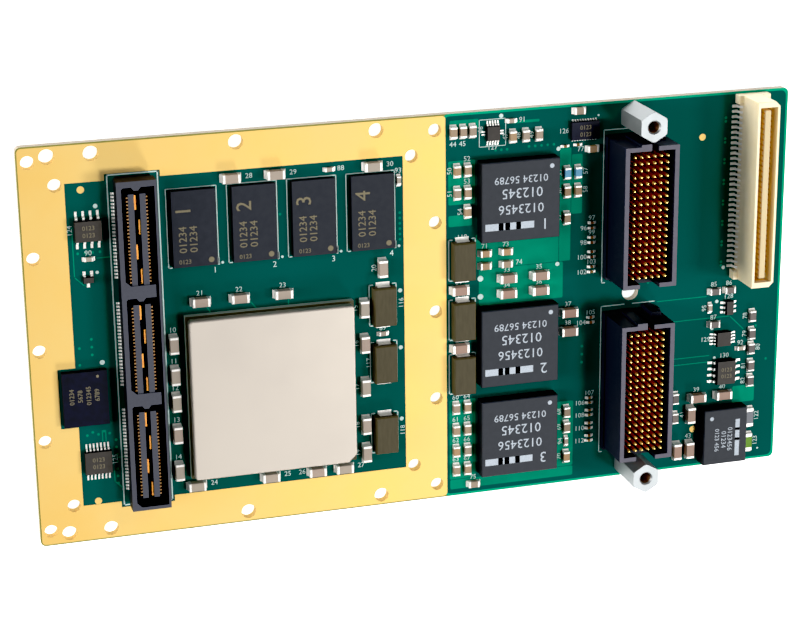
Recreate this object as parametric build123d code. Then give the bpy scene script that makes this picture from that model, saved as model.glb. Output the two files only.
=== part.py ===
from build123d import *
import os

# A conduction-cooled mezzanine card that lies flat with its component side up.
# Places are in millimetres: x from the front edge towards the rear connectors,
# y from the centre line of the card, and heights from the component face.

os.makedirs("parts", exist_ok=True)

# Board
BOARD_THICKNESS = 1.6
BOARD_CORNER_RADIUS = 1.0
REAR_MARGIN = 5.35
STANDOFF_EDGE_MARGIN = 3.0
KEYING_HOLE_DIAMETER = 3.2

# Screws under the standoffs, whose heads the card lies on
SCREW_DIAMETER = 2.1
SCREW_CLEARANCE = 0.3
SCREW_REACH = 4.0
SCREW_HEAD_DIAMETER = 4.7
SCREW_HEAD_HEIGHT = 1.7

# Hexagonal standoffs, tapped from both ends
STANDOFF_HEIGHT = 10.0
STANDOFF_ACROSS_FLATS = 5.0
STANDOFF_TAP_DEPTH = 5.2
STANDOFF_GAP = 3.62

# Rear connectors, each a shroud round a field of pins
PIN_PITCH = 1.27
PIN_ROWS = 6
PIN_COLUMNS = 19
PIN_WIDTH = 0.45
PIN_TOP = 9.3
SHROUD_HEIGHT = 9.6
SHROUD_WALL = 0.85
SHROUD_FLOOR = 2.2
SHROUD_SIDE_GAP = 1.2
SHROUD_END_GAP = 1.1
SHROUD_SPACING_GAP = 7.24
FLANGE_REACH = 0.35
FLANGE_HEIGHT = 1.6
KEY_SLOT_WIDTH = 1.3
KEY_SLOT_OFFSET = 0.5
KEY_RIB_WIDTH = 2.0
KEY_RIB_DEPTH = 0.45
DIP_WIDTH = 3.8
DIP_DEPTH = 3.4
LUG_WIDTH = 2.0
LUG_REACH = 1.1
LUG_HEIGHT = 5.5
LUG_OFFSET = 3.2
FOOT_HEIGHT = 0.6

# Side connector, a cream housing with two rows of leads
LEAD_PITCH = 1.0
LEAD_COLUMNS = 32
LEAD_WIDTH = 0.42
LEAD_THICKNESS = 0.2
LEAD_REACH = 1.3
SIDE_HEIGHT = 8.2
SIDE_WIDTH = 4.4
SIDE_WALL = 0.5
SIDE_FLOOR = 2.6
SIDE_END = 2.3
SIDE_END_WALL = 1.1
SIDE_CORNER_CUT = 0.9
SIDE_EDGE_MARGIN = 0.45
TONGUE_WIDTH = 1.1
TONGUE_DROP = 0.5
TONGUE_END_GAP = 0.6
EAR_REACH = 0.95
EAR_LENGTH = 1.7
EAR_HEIGHT = 1.9

# Front connector, three banks of fine contacts in one housing
BANKS = 3
BANK_PITCH = 20.0
BANK_LENGTH = 16.5
FRONT_X = 19.85
FRONT_WIDTH = 7.05
FRONT_HEIGHT = 4.3
FRONT_WALL = 0.65
FRONT_FLOOR = 1.3
FRONT_END = 2.3
FRONT_BASE_INSET = 0.45
FRONT_BASE_HEIGHT = 1.0
ISLAND_WIDTH = 3.1
ISLAND_DROP = 0.2
ISLAND_SLOT = 1.0
POCKET_HEAD_GAP = 1.2
POCKET_TAIL_GAP = 1.0
POCKET_CORNER = 0.9
BLADES_PER_BANK = 4
BLADE_LENGTH = 2.6
BLADE_END_MARGIN = 0.28
BLADE_THICKNESS = 0.35
BLADE_DROP = 0.5

# Gold-plated thermal frame and the holes through it
FRAME_THICKNESS = 0.08
FRAME_INSET = 0.25
FRAME_SIDE_RAIL = 8.05
FRAME_END_RAIL = 7.0
FRAME_HOLE_DIAMETER = 2.5
FRAME_EDGE_HOLE_DIAMETER = 2.8
OUTER_HOLE_INSET = 2.0
OUTER_HOLE_MARGIN = 2.8
INNER_HOLE_INSET = 6.4
INNER_HOLE_MARGIN = 7.2
EDGE_HOLE_INSET = 12.9
EDGE_HOLE_MARGIN = 2.0
QUARTER_HOLE_SPACING = 34.0
LONE_HOLE_INSET = 5.3
FRONT_BAY_SIDE = 1.35
FRONT_BAY_END = 0.6

# Processor package, and the memory beside it
PROCESSOR_SIDE = 31.0
PROCESSOR_GAP = 4.425
PROCESSOR_END_GAP = 3.2
SUBSTRATE_HEIGHT = 1.3
LID_MARGIN = 0.35
LID_HEIGHT = 2.05
LID_CORNER_BEVEL = 0.4
LID_CORNER_CUT = 1.6
MEMORY_COUNT = 4
MEMORY_WIDTH = 9.0
MEMORY_LENGTH = 14.0
MEMORY_HEIGHT = 1.2
MEMORY_SPACING = 1.85
MEMORY_GAP = 2.18
MEMORY_END_GAP = 2.7
MEMORY_FRAME_GAP = 1.55

# Power modules
MODULE_SIDE = 15.0
MODULE_HEIGHT = 2.8
MODULE_BEVEL = 0.2
MODULE_GAP = 6.0
MODULE_ROWS = (20.5, -7.5, -25.4)
SMALL_MODULE_WIDTH = 9.0
SMALL_MODULE_LENGTH = 11.25
SMALL_MODULE_SETBACK = 4.0
SMALL_MODULE_MARGIN = 0.9

# Moulded polymer capacitors
POLYMER_WIDTH = 4.3
POLYMER_LENGTH = 7.3
POLYMER_HEIGHT = 2.0
POLYMER_LIFT = 0.15
POLYMER_BEVEL = 0.25
POLYMER_GAP = 3.65
POLYMER_FRAME_GAP = 1.9
POLYMER_REAR_OFFSET = 3.06
POLYMER_ROWS = (2.4, -8.6, -22.5)
POLYMER_REAR_ROWS = (9.5, -2.0, -12.6)

# Gaps between the columns of the layout
REAR_COLUMN_GAP = 9.975
SIDE_COLUMN_GAP = 15.875

# Chip capacitors and resistors, as length, width and height
LARGE_CHIP = (3.2, 1.6, 1.5)
MEDIUM_CHIP = (2.1, 1.25, 1.0)
SMALL_CHIP = (1.6, 0.8, 0.6)
FLANK_GAP = 2.1
PROCESSOR_HEAD_GAP = 2.33
PROCESSOR_FOOT_GAP = 1.72
MEMORY_HEAD_GAP = 1.4

# Sides of the round faces that are drawn with flats: those of the foil and those inside
FLAT_COUNT = 10

# Sizes that follow from those above
SHROUD_WIDTH = (PIN_ROWS - 1) * PIN_PITCH + 2 * (SHROUD_SIDE_GAP + SHROUD_WALL)
SHROUD_LENGTH = (PIN_COLUMNS - 1) * PIN_PITCH + 2 * (SHROUD_END_GAP + SHROUD_WALL)
SHROUD_SPACING = SHROUD_LENGTH + SHROUD_SPACING_GAP
STANDOFF_SPACING = SHROUD_SPACING + SHROUD_LENGTH + 2 * STANDOFF_GAP
BOARD_WIDTH = STANDOFF_SPACING + 2 * STANDOFF_EDGE_MARGIN
HALF_WIDTH = BOARD_WIDTH / 2
FRONT_LENGTH = (BANKS - 1) * BANK_PITCH + BANK_LENGTH + 2 * FRONT_END
SIDE_LENGTH = (LEAD_COLUMNS - 1) * LEAD_PITCH + 2 * SIDE_END

PROCESSOR_X = FRONT_X + FRONT_WIDTH / 2 + PROCESSOR_GAP + PROCESSOR_SIDE / 2
PROCESSOR_Y = -HALF_WIDTH + FRAME_END_RAIL + PROCESSOR_END_GAP + PROCESSOR_SIDE / 2
MEMORY_X = FRONT_X + FRONT_WIDTH / 2 + MEMORY_GAP + MEMORY_WIDTH / 2
MEMORY_Y = HALF_WIDTH - FRAME_END_RAIL - MEMORY_END_GAP - MEMORY_LENGTH / 2
MEMORY_PITCH = MEMORY_WIDTH + MEMORY_SPACING
MEMORY_END = MEMORY_X + (MEMORY_COUNT - 1) * MEMORY_PITCH + MEMORY_WIDTH / 2
POLYMER_X = PROCESSOR_X + PROCESSOR_SIDE / 2 + POLYMER_GAP + POLYMER_WIDTH / 2
POLYMER_END = POLYMER_X + POLYMER_WIDTH / 2
WINDOW_END = max(POLYMER_END + POLYMER_FRAME_GAP, MEMORY_END + MEMORY_FRAME_GAP)
FRAME_LENGTH = WINDOW_END + FRAME_SIDE_RAIL
MODULE_X = FRAME_LENGTH + MODULE_GAP + MODULE_SIDE / 2
REAR_X = MODULE_X + MODULE_SIDE / 2 + REAR_COLUMN_GAP + SHROUD_WIDTH / 2
SIDE_X = REAR_X + SHROUD_WIDTH / 2 + SIDE_COLUMN_GAP + SIDE_WIDTH / 2
SIDE_Y = HALF_WIDTH - SIDE_EDGE_MARGIN - SIDE_LENGTH / 2
BOARD_LENGTH = SIDE_X + SIDE_WIDTH / 2 + REAR_MARGIN
BOARD_TOP = SCREW_HEAD_HEIGHT + BOARD_THICKNESS

STANDOFF_PLACES = {"upper": STANDOFF_SPACING / 2, "lower": -STANDOFF_SPACING / 2}
SHROUD_PLACES = {"upper": SHROUD_SPACING / 2, "lower": -SHROUD_SPACING / 2}


def spot(x, y, height=0.0):
    """A place on the component face, or at a height above it."""
    return Location((x - BOARD_LENGTH / 2, y, BOARD_TOP + height))


def block(length, width, height, lift=0.0):
    """A box over the origin that starts at a lift above z = 0."""
    box = Box(length, width, height, align=(Align.CENTER, Align.CENTER, Align.MIN))
    return Location((0, 0, lift)) * box


def rod(diameter, height, lift=0.0):
    """An upright cylinder over the origin that starts at a lift above z = 0."""
    align = (Align.CENTER, Align.CENTER, Align.MIN)
    return Location((0, 0, lift)) * Cylinder(diameter / 2, height, align=align)


def flatted_rod(diameter, height, lift=0.0):
    """A rod drawn with flats that just clear its diameter."""
    profile = RegularPolygon(diameter / 2, FLAT_COUNT, major_radius=False)
    return Location((0, 0, lift)) * extrude(profile, height)


def moved(shape, x, y, height=0.0):
    return Location((x, y, height)) * shape


def write(name, pieces):
    """Writes one piece, or one group of like pieces, to a file of its own."""
    solids = [solid for piece in pieces for solid in piece.solids()]
    export_step(Compound(solids), f"parts/{name}.step")


# Circuit board with its mounting holes
def frame_holes():
    """The holes through the thermal frame, as x, y and diameter."""
    holes = []
    for inset_side in (0, FRAME_LENGTH):
        inward = 1 if inset_side == 0 else -1
        outer_x = inset_side + inward * OUTER_HOLE_INSET
        inner_x = inset_side + inward * INNER_HOLE_INSET
        edge_x = inset_side + inward * EDGE_HOLE_INSET
        holes.append((outer_x, 0, FRAME_HOLE_DIAMETER))
        for end in (-1, 1):
            holes.append((outer_x, end * (HALF_WIDTH - OUTER_HOLE_MARGIN), FRAME_HOLE_DIAMETER))
            holes.append((outer_x, end * QUARTER_HOLE_SPACING / 2, FRAME_HOLE_DIAMETER))
            holes.append((inner_x, end * (HALF_WIDTH - INNER_HOLE_MARGIN), FRAME_HOLE_DIAMETER))
            holes.append((edge_x, end * (HALF_WIDTH - EDGE_HOLE_MARGIN), FRAME_EDGE_HOLE_DIAMETER))
    for x in (FRAME_LENGTH / 2, LONE_HOLE_INSET):
        for end in (-1, 1):
            holes.append((x, end * (HALF_WIDTH - EDGE_HOLE_MARGIN), FRAME_EDGE_HOLE_DIAMETER))
    return holes


def circuit_board():
    outline = RectangleRounded(BOARD_LENGTH, BOARD_WIDTH, BOARD_CORNER_RADIUS)
    board = Location((0, 0, SCREW_HEAD_HEIGHT)) * extrude(outline, BOARD_THICKNESS)
    for x, y, diameter in frame_holes() + [(REAR_X, 0, KEYING_HOLE_DIAMETER)]:
        board -= spot(x, y, -BOARD_THICKNESS) * rod(diameter, BOARD_THICKNESS)
    screw_hole = flatted_rod(SCREW_DIAMETER + 2 * SCREW_CLEARANCE, BOARD_THICKNESS)
    for y in STANDOFF_PLACES.values():
        board -= spot(REAR_X, y, -BOARD_THICKNESS) * screw_hole
    return board


write("circuit_board", [circuit_board()])


# Thermal frame, a gold-plated band round a window for the processor field
FLASH_WIDTH = 8.1
FLASH_LENGTH = 10.2
FLASH_HEIGHT = 1.2
FLASH_X = 9.45
FLASH_Y = -9.25
FLASH_BAY_MARGIN = 0.5


def thermal_frame():
    length = FRAME_LENGTH - FRAME_INSET
    width = BOARD_WIDTH - 2 * FRAME_INSET
    frame = spot(FRAME_INSET + length / 2, 0) * block(length, width, FRAME_THICKNESS)
    window_length = FRAME_LENGTH - 2 * FRAME_SIDE_RAIL
    window_width = BOARD_WIDTH - 2 * FRAME_END_RAIL
    frame -= spot(FRAME_LENGTH / 2, 0) * block(window_length, window_width, FRAME_THICKNESS)
    bay_width = FRONT_WIDTH + 2 * FRONT_BAY_SIDE
    bay_length = FRONT_LENGTH + 2 * FRONT_BAY_END
    frame -= spot(FRONT_X, 0) * block(bay_width, bay_length, FRAME_THICKNESS)
    flash_bay_width = FLASH_WIDTH + 2 * FLASH_BAY_MARGIN
    flash_bay_length = FLASH_LENGTH + 2 * FLASH_BAY_MARGIN
    frame -= spot(FLASH_X, FLASH_Y) * block(flash_bay_width, flash_bay_length, FRAME_THICKNESS)
    for x, y, diameter in frame_holes():
        frame -= spot(x, y) * flatted_rod(diameter, FRAME_THICKNESS)
    return frame


write("thermal_frame", [thermal_frame()])


# Processor package, a substrate and a metal lid with one cut corner
def processor_lid():
    side = PROCESSOR_SIDE - 2 * LID_MARGIN
    lid = block(side, side, LID_HEIGHT, SUBSTRATE_HEIGHT)
    towards_cut = Axis((0, 0, 0), (1, -1, 0))
    corners = lid.edges().filter_by(Axis.Z).sort_by(towards_cut)
    lid = chamfer(corners[-1], LID_CORNER_CUT)
    corners = lid.edges().filter_by(Axis.Z).sort_by(towards_cut)
    lid = chamfer(corners[:3], LID_CORNER_BEVEL)
    return spot(PROCESSOR_X, PROCESSOR_Y) * lid


substrate = spot(PROCESSOR_X, PROCESSOR_Y) * block(PROCESSOR_SIDE, PROCESSOR_SIDE, SUBSTRATE_HEIGHT)
write("processor_substrate", [substrate])
write("processor_lid", [processor_lid()])


# Memory chips in a row above the processor
for index in range(MEMORY_COUNT):
    place = spot(MEMORY_X + index * MEMORY_PITCH, MEMORY_Y)
    write(f"memory_chip_{index + 1}", [place * block(MEMORY_WIDTH, MEMORY_LENGTH, MEMORY_HEIGHT)])


# Power modules, moulded blocks with a fine bevel round the top
def moulded_block(length, width):
    body = block(length, width, MODULE_HEIGHT)
    return chamfer(body.faces().sort_by(Axis.Z)[-1].edges(), MODULE_BEVEL)


for index, y in enumerate(MODULE_ROWS):
    write(f"power_module_{index + 1}", [spot(MODULE_X, y) * moulded_block(MODULE_SIDE, MODULE_SIDE)])
SMALL_MODULE_X = SIDE_X - SMALL_MODULE_SETBACK
SMALL_MODULE_Y = -HALF_WIDTH + SMALL_MODULE_MARGIN + SMALL_MODULE_LENGTH / 2
small_module = moulded_block(SMALL_MODULE_WIDTH, SMALL_MODULE_LENGTH)
write("power_module_small", [spot(SMALL_MODULE_X, SMALL_MODULE_Y) * small_module])


# Rear connector shroud: an open box with a keying slot and rib at its upper end,
# and a dip in the rim at its lower end
def shroud():
    body = block(SHROUD_WIDTH, SHROUD_LENGTH, SHROUD_HEIGHT)
    flange_width = SHROUD_WIDTH + 2 * FLANGE_REACH
    flange_length = SHROUD_LENGTH + 2 * FLANGE_REACH
    body += block(flange_width, flange_length, FLANGE_HEIGHT)
    rib_x = KEY_SLOT_OFFSET - KEY_SLOT_WIDTH / 2 - KEY_RIB_WIDTH / 2
    rib = block(KEY_RIB_WIDTH, 2 * KEY_RIB_DEPTH, SHROUD_HEIGHT)
    body += moved(rib, rib_x, SHROUD_LENGTH / 2)
    lug = block(LUG_WIDTH, 2 * LUG_REACH, LUG_HEIGHT)
    body += moved(lug, LUG_OFFSET, SHROUD_LENGTH / 2)
    foot = block(LUG_WIDTH, 2 * LUG_REACH, FOOT_HEIGHT)
    body += moved(foot, -LUG_OFFSET, -SHROUD_LENGTH / 2)
    cavity_width = SHROUD_WIDTH - 2 * SHROUD_WALL
    cavity_length = SHROUD_LENGTH - 2 * SHROUD_WALL
    body -= block(cavity_width, cavity_length, SHROUD_HEIGHT, SHROUD_FLOOR)
    key_slot = block(KEY_SLOT_WIDTH, 2 * SHROUD_WALL, SHROUD_HEIGHT, SHROUD_FLOOR)
    body -= moved(key_slot, KEY_SLOT_OFFSET, SHROUD_LENGTH / 2)
    dip = block(DIP_WIDTH, 2 * SHROUD_WALL, SHROUD_HEIGHT, SHROUD_HEIGHT - DIP_DEPTH)
    return body - moved(dip, 0, -SHROUD_LENGTH / 2)


def pin_field():
    pin = block(PIN_WIDTH, PIN_WIDTH, PIN_TOP - SHROUD_FLOOR, SHROUD_FLOOR)
    return [place * pin for place in GridLocations(PIN_PITCH, PIN_PITCH, PIN_ROWS, PIN_COLUMNS)]


for name, y in SHROUD_PLACES.items():
    place = spot(REAR_X, y)
    write(f"rear_connector_{name}_shroud", [place * shroud()])
    write(f"rear_connector_{name}_pins", [place * pin for pin in pin_field()])


# Side connector: a hollow housing with a tongue down the middle and low ears at its ends
def side_housing():
    body = block(SIDE_WIDTH, SIDE_LENGTH, SIDE_HEIGHT)
    rear_corners = body.edges().filter_by(Axis.Z).sort_by(Axis.X)[-2:]
    body = chamfer(rear_corners, SIDE_CORNER_CUT)
    for end in (-1, 1):
        ear = block(SIDE_WIDTH + 2 * EAR_REACH, EAR_LENGTH, EAR_HEIGHT)
        body += moved(ear, 0, end * (SIDE_LENGTH - EAR_LENGTH) / 2)
    cavity_width = SIDE_WIDTH - 2 * SIDE_WALL
    cavity_length = SIDE_LENGTH - 2 * SIDE_END_WALL
    body -= block(cavity_width, cavity_length, SIDE_HEIGHT, SIDE_FLOOR)
    tongue_length = cavity_length - 2 * TONGUE_END_GAP
    tongue_height = SIDE_HEIGHT - TONGUE_DROP - SIDE_FLOOR
    return body + block(TONGUE_WIDTH, tongue_length, tongue_height, SIDE_FLOOR)


def side_leads():
    """The feet of the leads, in a row on the board along each side."""
    foot = block(LEAD_REACH, LEAD_WIDTH, LEAD_THICKNESS)
    rows = SIDE_WIDTH + LEAD_REACH
    return [place * foot for place in GridLocations(rows, LEAD_PITCH, 2, LEAD_COLUMNS)]


side_place = spot(SIDE_X, SIDE_Y)
write("side_connector_housing", [side_place * side_housing()])
write("side_connector_leads", [side_place * lead for lead in side_leads()])


# Front connector: three pockets, each with a slotted island that carries the contacts
def front_pocket(last):
    """The space round one island, with its lower corners cut across."""
    width = FRONT_WIDTH - 2 * FRONT_WALL
    tail = POCKET_TAIL_GAP if last else 0
    length = BANK_LENGTH + POCKET_HEAD_GAP + tail
    pocket = block(width, length, FRONT_HEIGHT, FRONT_FLOOR)
    lower_corners = pocket.edges().filter_by(Axis.Z).sort_by(Axis.Y)[:2]
    pocket = chamfer(lower_corners, POCKET_CORNER)
    return moved(pocket, 0, (POCKET_HEAD_GAP - tail) / 2)


def front_housing():
    body = block(FRONT_WIDTH, FRONT_LENGTH, FRONT_HEIGHT - FRONT_BASE_HEIGHT, FRONT_BASE_HEIGHT)
    body += block(FRONT_WIDTH - 2 * FRONT_BASE_INSET, FRONT_LENGTH, FRONT_BASE_HEIGHT)
    island_height = FRONT_HEIGHT - ISLAND_DROP - FRONT_FLOOR
    for bank in range(BANKS):
        y = (bank - (BANKS - 1) / 2) * BANK_PITCH
        body -= moved(front_pocket(bank == 0), 0, y)
        body += moved(block(ISLAND_WIDTH, BANK_LENGTH, island_height, FRONT_FLOOR), 0, y)
        body -= moved(block(ISLAND_SLOT, BANK_LENGTH, FRONT_HEIGHT, FRONT_FLOOR), 0, y)
    return body


def ground_blades():
    """Blades that stand in the islands' slots, against one side and then the other."""
    height = FRONT_HEIGHT - BLADE_DROP - FRONT_FLOOR
    blade = block(BLADE_THICKNESS, BLADE_LENGTH, height, FRONT_FLOOR)
    side = (ISLAND_SLOT - BLADE_THICKNESS) / 2
    span = BANK_LENGTH - 2 * BLADE_END_MARGIN - BLADE_LENGTH
    pitch = span / (BLADES_PER_BANK - 1)
    blades = []
    for bank in GridLocations(0, BANK_PITCH, 1, BANKS):
        for index in range(BLADES_PER_BANK):
            x = side if index % 2 == 0 else -side
            y = index * pitch - span / 2
            blades.append(bank * moved(blade, x, y))
    return blades


front_place = spot(FRONT_X, 0)
write("front_connector_housing", [front_place * front_housing()])
write("front_connector_blades", [front_place * blade for blade in ground_blades()])


# Standoffs, with a web between the tapped hole and the hole that takes the screw
def standoff():
    hexagon = RegularPolygon(STANDOFF_ACROSS_FLATS / 2, 6, major_radius=False, rotation=30)
    body = extrude(hexagon, STANDOFF_HEIGHT)
    body -= rod(SCREW_DIAMETER, STANDOFF_TAP_DEPTH, STANDOFF_HEIGHT - STANDOFF_TAP_DEPTH)
    return body - flatted_rod(SCREW_DIAMETER, SCREW_REACH)


def screw():
    """A head under the board, with its shank up in the standoff."""
    head = rod(SCREW_HEAD_DIAMETER, SCREW_HEAD_HEIGHT)
    shank_length = BOARD_THICKNESS + SCREW_REACH
    return head + flatted_rod(SCREW_DIAMETER, shank_length, SCREW_HEAD_HEIGHT)


screws = []
for name, y in STANDOFF_PLACES.items():
    write(f"standoff_{name}", [spot(REAR_X, y) * standoff()])
    screws.append(spot(REAR_X, y, -BOARD_TOP) * screw())
write("standoff_screws", screws)


# Polymer capacitors, moulded bodies that stand just off the board
def polymer_body():
    body = block(POLYMER_WIDTH, POLYMER_LENGTH, POLYMER_HEIGHT - POLYMER_LIFT, POLYMER_LIFT)
    return chamfer(body.faces().sort_by(Axis.Z)[-1].edges(), POLYMER_BEVEL)


POLYMER_PLACES = [(POLYMER_X, y) for y in POLYMER_ROWS]
POLYMER_PLACES += [(FRAME_LENGTH + POLYMER_REAR_OFFSET, y) for y in POLYMER_REAR_ROWS]
for index, (x, y) in enumerate(POLYMER_PLACES):
    write(f"polymer_capacitor_{index + 1}", [spot(x, y) * polymer_body()])


# Chip capacitors and resistors, each lying along or across the card
def chips(places, size, along):
    """Chips of one size at the given places, along the card or across it."""
    length, width, height = size
    body = block(length, width, height) if along else block(width, length, height)
    return [spot(x, y) * body for x, y in places]


LEFT_FLANK = PROCESSOR_X - PROCESSOR_SIDE / 2 - FLANK_GAP
RIGHT_FLANK = PROCESSOR_X + PROCESSOR_SIDE / 2 + FLANK_GAP
HEAD_ROW = PROCESSOR_Y + PROCESSOR_SIDE / 2 + PROCESSOR_HEAD_GAP
FOOT_ROW = PROCESSOR_Y - PROCESSOR_SIDE / 2 - PROCESSOR_FOOT_GAP
MEMORY_ROW = MEMORY_Y + MEMORY_LENGTH / 2 + MEMORY_HEAD_GAP
across = [(LEFT_FLANK, PROCESSOR_Y + y) for y in (10.3, 4.4, -0.7, -6.8, -14.0)]
across += [(RIGHT_FLANK, PROCESSOR_Y + y) for y in (13.5, 6.7, -1.7, -9.2, -14.7)]
across += [(POLYMER_X - 0.1, HEAD_ROW + 3.0)]
along = [(PROCESSOR_X + x, HEAD_ROW) for x in (-12.4, -5.3, 2.7)]
along += [(PROCESSOR_X + x, FOOT_ROW) for x in (-14.5, -0.7, 8.1, 13.3)]
along += [(MEMORY_X + column * MEMORY_PITCH, MEMORY_ROW) for column in (0.654, 1.392, 3.032)]
write("processor_capacitors", chips(across, LARGE_CHIP, False) + chips(along, LARGE_CHIP, True))

along = [(MODULE_X - 11.05, y) for y in (3.85, -7.4)]
along += [(MODULE_X + x, y) for x in (-1.8, 4.5) for y in (5.3, 2.35)]
along += [(MODULE_X + 10.3, y) for y in (-2.6, -6.3)]
write("module_capacitors", chips(along, LARGE_CHIP, True))

along = [(SIDE_X + x, -HALF_WIDTH + 14.35) for x in (-9.2, -3.8)]
across = [(SIDE_X - 10.55, -HALF_WIDTH + 11.0)]
across += [(SIDE_X + x, -HALF_WIDTH + 3.8) for x in (-13.2, -10.6)]
write("rear_capacitors", chips(along, LARGE_CHIP, True) + chips(across, LARGE_CHIP, False))

across = [(MODULE_X + x, HALF_WIDTH - 3.4) for x in (-12.1, -10.3, -8.5)]
across += [(MODULE_X + x, HALF_WIDTH - 5.0) for x in (-0.85, 1.65, 4.15)]
across += [(MODULE_X + x, y) for x in (-11.45, -9.45) for y in (26.4, 22.2)]
across += [(MODULE_X - 9.5, 18.6)]
across += [(MODULE_X + x, y) for x in (9.7, 11.8) for y in (24.3, 20.8)]
across += [(MODULE_X + 9.7, 15.7)]
across += [(MODULE_X + x, y) for x in (-11.8, -9.6) for y in (-19.3, -23.7, -27.9, -31.7)]
across += [(MODULE_X + 10.1, y) for y in (-22.5, -25.6, -31.6)]
along = [(MODULE_X + x, y) for x in (-6.1, -2.0) for y in (10.4, 8.0)]
along += [(MODULE_X - 8.4, -HALF_WIDTH + 2.1), (MODULE_X + 11.9, HALF_WIDTH - 1.2)]
along += [(MODULE_X + 14.6, HALF_WIDTH - 8.5)]
write("module_chips", chips(across, MEDIUM_CHIP, False) + chips(along, MEDIUM_CHIP, True))

REAR_CHIP_X = SIDE_X + 1.8
across = [(REAR_CHIP_X, -HALF_WIDTH + y) for y in (29.8, 26.2, 23.2, 19.7, 16.6)]
across += [(SIDE_X - 13.7, -HALF_WIDTH + y) for y in (14.6, 10.6)]
along = [(SIDE_X + x, -HALF_WIDTH + 35.5) for x in (-6.2, -3.1)]
along += [(SIDE_X - 6.1, -HALF_WIDTH + 28.9)]
write("rear_chips", chips(across, MEDIUM_CHIP, False) + chips(along, MEDIUM_CHIP, True))

along = [(MEMORY_X + 2.3 * MEMORY_PITCH, MEMORY_ROW), (POLYMER_X - 0.1, -3.1), (11.5, 16.2)]
along += [(MODULE_X - 1.1, HALF_WIDTH - 2.1), (SIDE_X - 0.3, -HALF_WIDTH + 23.4)]
across = [(MEMORY_END + 0.7, MEMORY_Y + 5.3), (MODULE_X + 10.1, -28.5)]
across += [(SIDE_X - 7.0, -HALF_WIDTH + 32.2)]
write("small_chips", chips(along, SMALL_CHIP, True) + chips(across, SMALL_CHIP, False))


# Packaged chips, moulded bodies that are widest halfway up
PACKAGE_DRAFT = 0.12
PACKAGE_LIFT = 0.1


def package(length, width, height):
    middle = (height - PACKAGE_LIFT) / 2
    end_length, end_width = length - 2 * PACKAGE_DRAFT, width - 2 * PACKAGE_DRAFT
    lower = Location((0, 0, PACKAGE_LIFT)) * Rectangle(end_length, end_width)
    widest = Location((0, 0, PACKAGE_LIFT + middle)) * Rectangle(length, width)
    upper = Location((0, 0, height)) * Rectangle(end_length, end_width)
    return loft([lower, widest, upper], ruled=True)


# Each package by name, as its place and then its size along, across and up
PACKAGES = {
    "eight_lead_chip_front": (11.6, 21.5, 4.9, 3.9, 1.5),
    "transistor": (11.25, 12.5, 2.0, 1.25, 0.9),
    "fourteen_lead_chip": (11.15, -21.7, 5.0, 4.4, 1.1),
    "twenty_lead_chip": (MODULE_X + 13.0, HALF_WIDTH - 4.9, 5.6, 3.6, 1.0),
    "regulator": (MODULE_X - 4.6, HALF_WIDTH - 4.1, 2.6, 2.8, 0.9),
    "six_lead_chip": (SIDE_X - 3.1, -HALF_WIDTH + 32.0, 1.6, 2.9, 1.1),
    "eight_lead_small_chip": (SIDE_X - 4.1, -HALF_WIDTH + 25.8, 3.0, 3.0, 1.0),
    "eight_lead_chip_rear": (SIDE_X - 3.6, -HALF_WIDTH + 19.1, 3.9, 4.9, 1.5),
}
for name, (x, y, length, width, height) in PACKAGES.items():
    write(name, [spot(x, y) * package(length, width, height)])

write("flash_chip", [spot(FLASH_X, FLASH_Y) * block(FLASH_WIDTH, FLASH_LENGTH, FLASH_HEIGHT)])


# Fuse and indicator at the rear corner
write("fuse", [spot(SIDE_X + 2.0, -HALF_WIDTH + 9.0) * block(1.5, 3.8, 0.8)])
write("indicator", [spot(SIDE_X + 2.0, -HALF_WIDTH + 3.8) * block(1.4, 3.6, 0.7)])
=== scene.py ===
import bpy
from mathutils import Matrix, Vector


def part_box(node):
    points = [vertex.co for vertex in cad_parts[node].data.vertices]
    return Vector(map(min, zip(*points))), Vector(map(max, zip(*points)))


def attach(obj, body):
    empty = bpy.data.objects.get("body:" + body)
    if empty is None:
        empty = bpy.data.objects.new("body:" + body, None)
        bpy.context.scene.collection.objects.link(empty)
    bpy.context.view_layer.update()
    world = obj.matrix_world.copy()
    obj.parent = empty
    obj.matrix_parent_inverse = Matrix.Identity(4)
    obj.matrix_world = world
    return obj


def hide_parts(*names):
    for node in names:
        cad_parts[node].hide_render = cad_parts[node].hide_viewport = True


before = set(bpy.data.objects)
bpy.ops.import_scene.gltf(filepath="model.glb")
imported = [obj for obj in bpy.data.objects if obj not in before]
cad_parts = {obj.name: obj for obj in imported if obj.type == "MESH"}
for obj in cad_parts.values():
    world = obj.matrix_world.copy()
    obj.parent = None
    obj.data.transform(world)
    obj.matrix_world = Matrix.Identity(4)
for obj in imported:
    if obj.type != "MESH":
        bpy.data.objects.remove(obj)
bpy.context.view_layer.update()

import math
from functools import partial

import bmesh
import bpy
from mathutils import Vector


# Circuit board: woven glass and epoxy with copper layers pressed inside, drilled and routed
# to its outline. Green solder mask is printed over both faces. The routed edges stay bare,
# and show the straw-coloured laminate in layers.
MM = 0.001
board_low, board_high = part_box("circuit_board")
FACE = board_high.z
MASK_DARK = "#00453b"
MASK_LIGHT = "#00534e"
MASK_CLOUD = 30 * MM
GLASS_WEAVE = 0.5 * MM
LAMINATE_STRAW = "#d2c8b8"
LAMINATE_SHADE = "#a89c8a"
LAMINATE_LAYER = 0.2 * MM
RIB_HEIGHT = 0.01 * MM
# The scale at which a wave pattern has one wave to the metre.
ONE_WAVE = math.pi / 10


def linear(hex_colour):
    """An sRGB colour such as "#3c4044" as linear red, green, blue and alpha."""
    channels = [int(hex_colour[i:i + 2], 16) / 255 for i in (1, 3, 5)]
    return [c / 12.92 if c <= 0.04045 else ((c + 0.055) / 1.055) ** 2.4 for c in channels] + [1.0]


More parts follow.
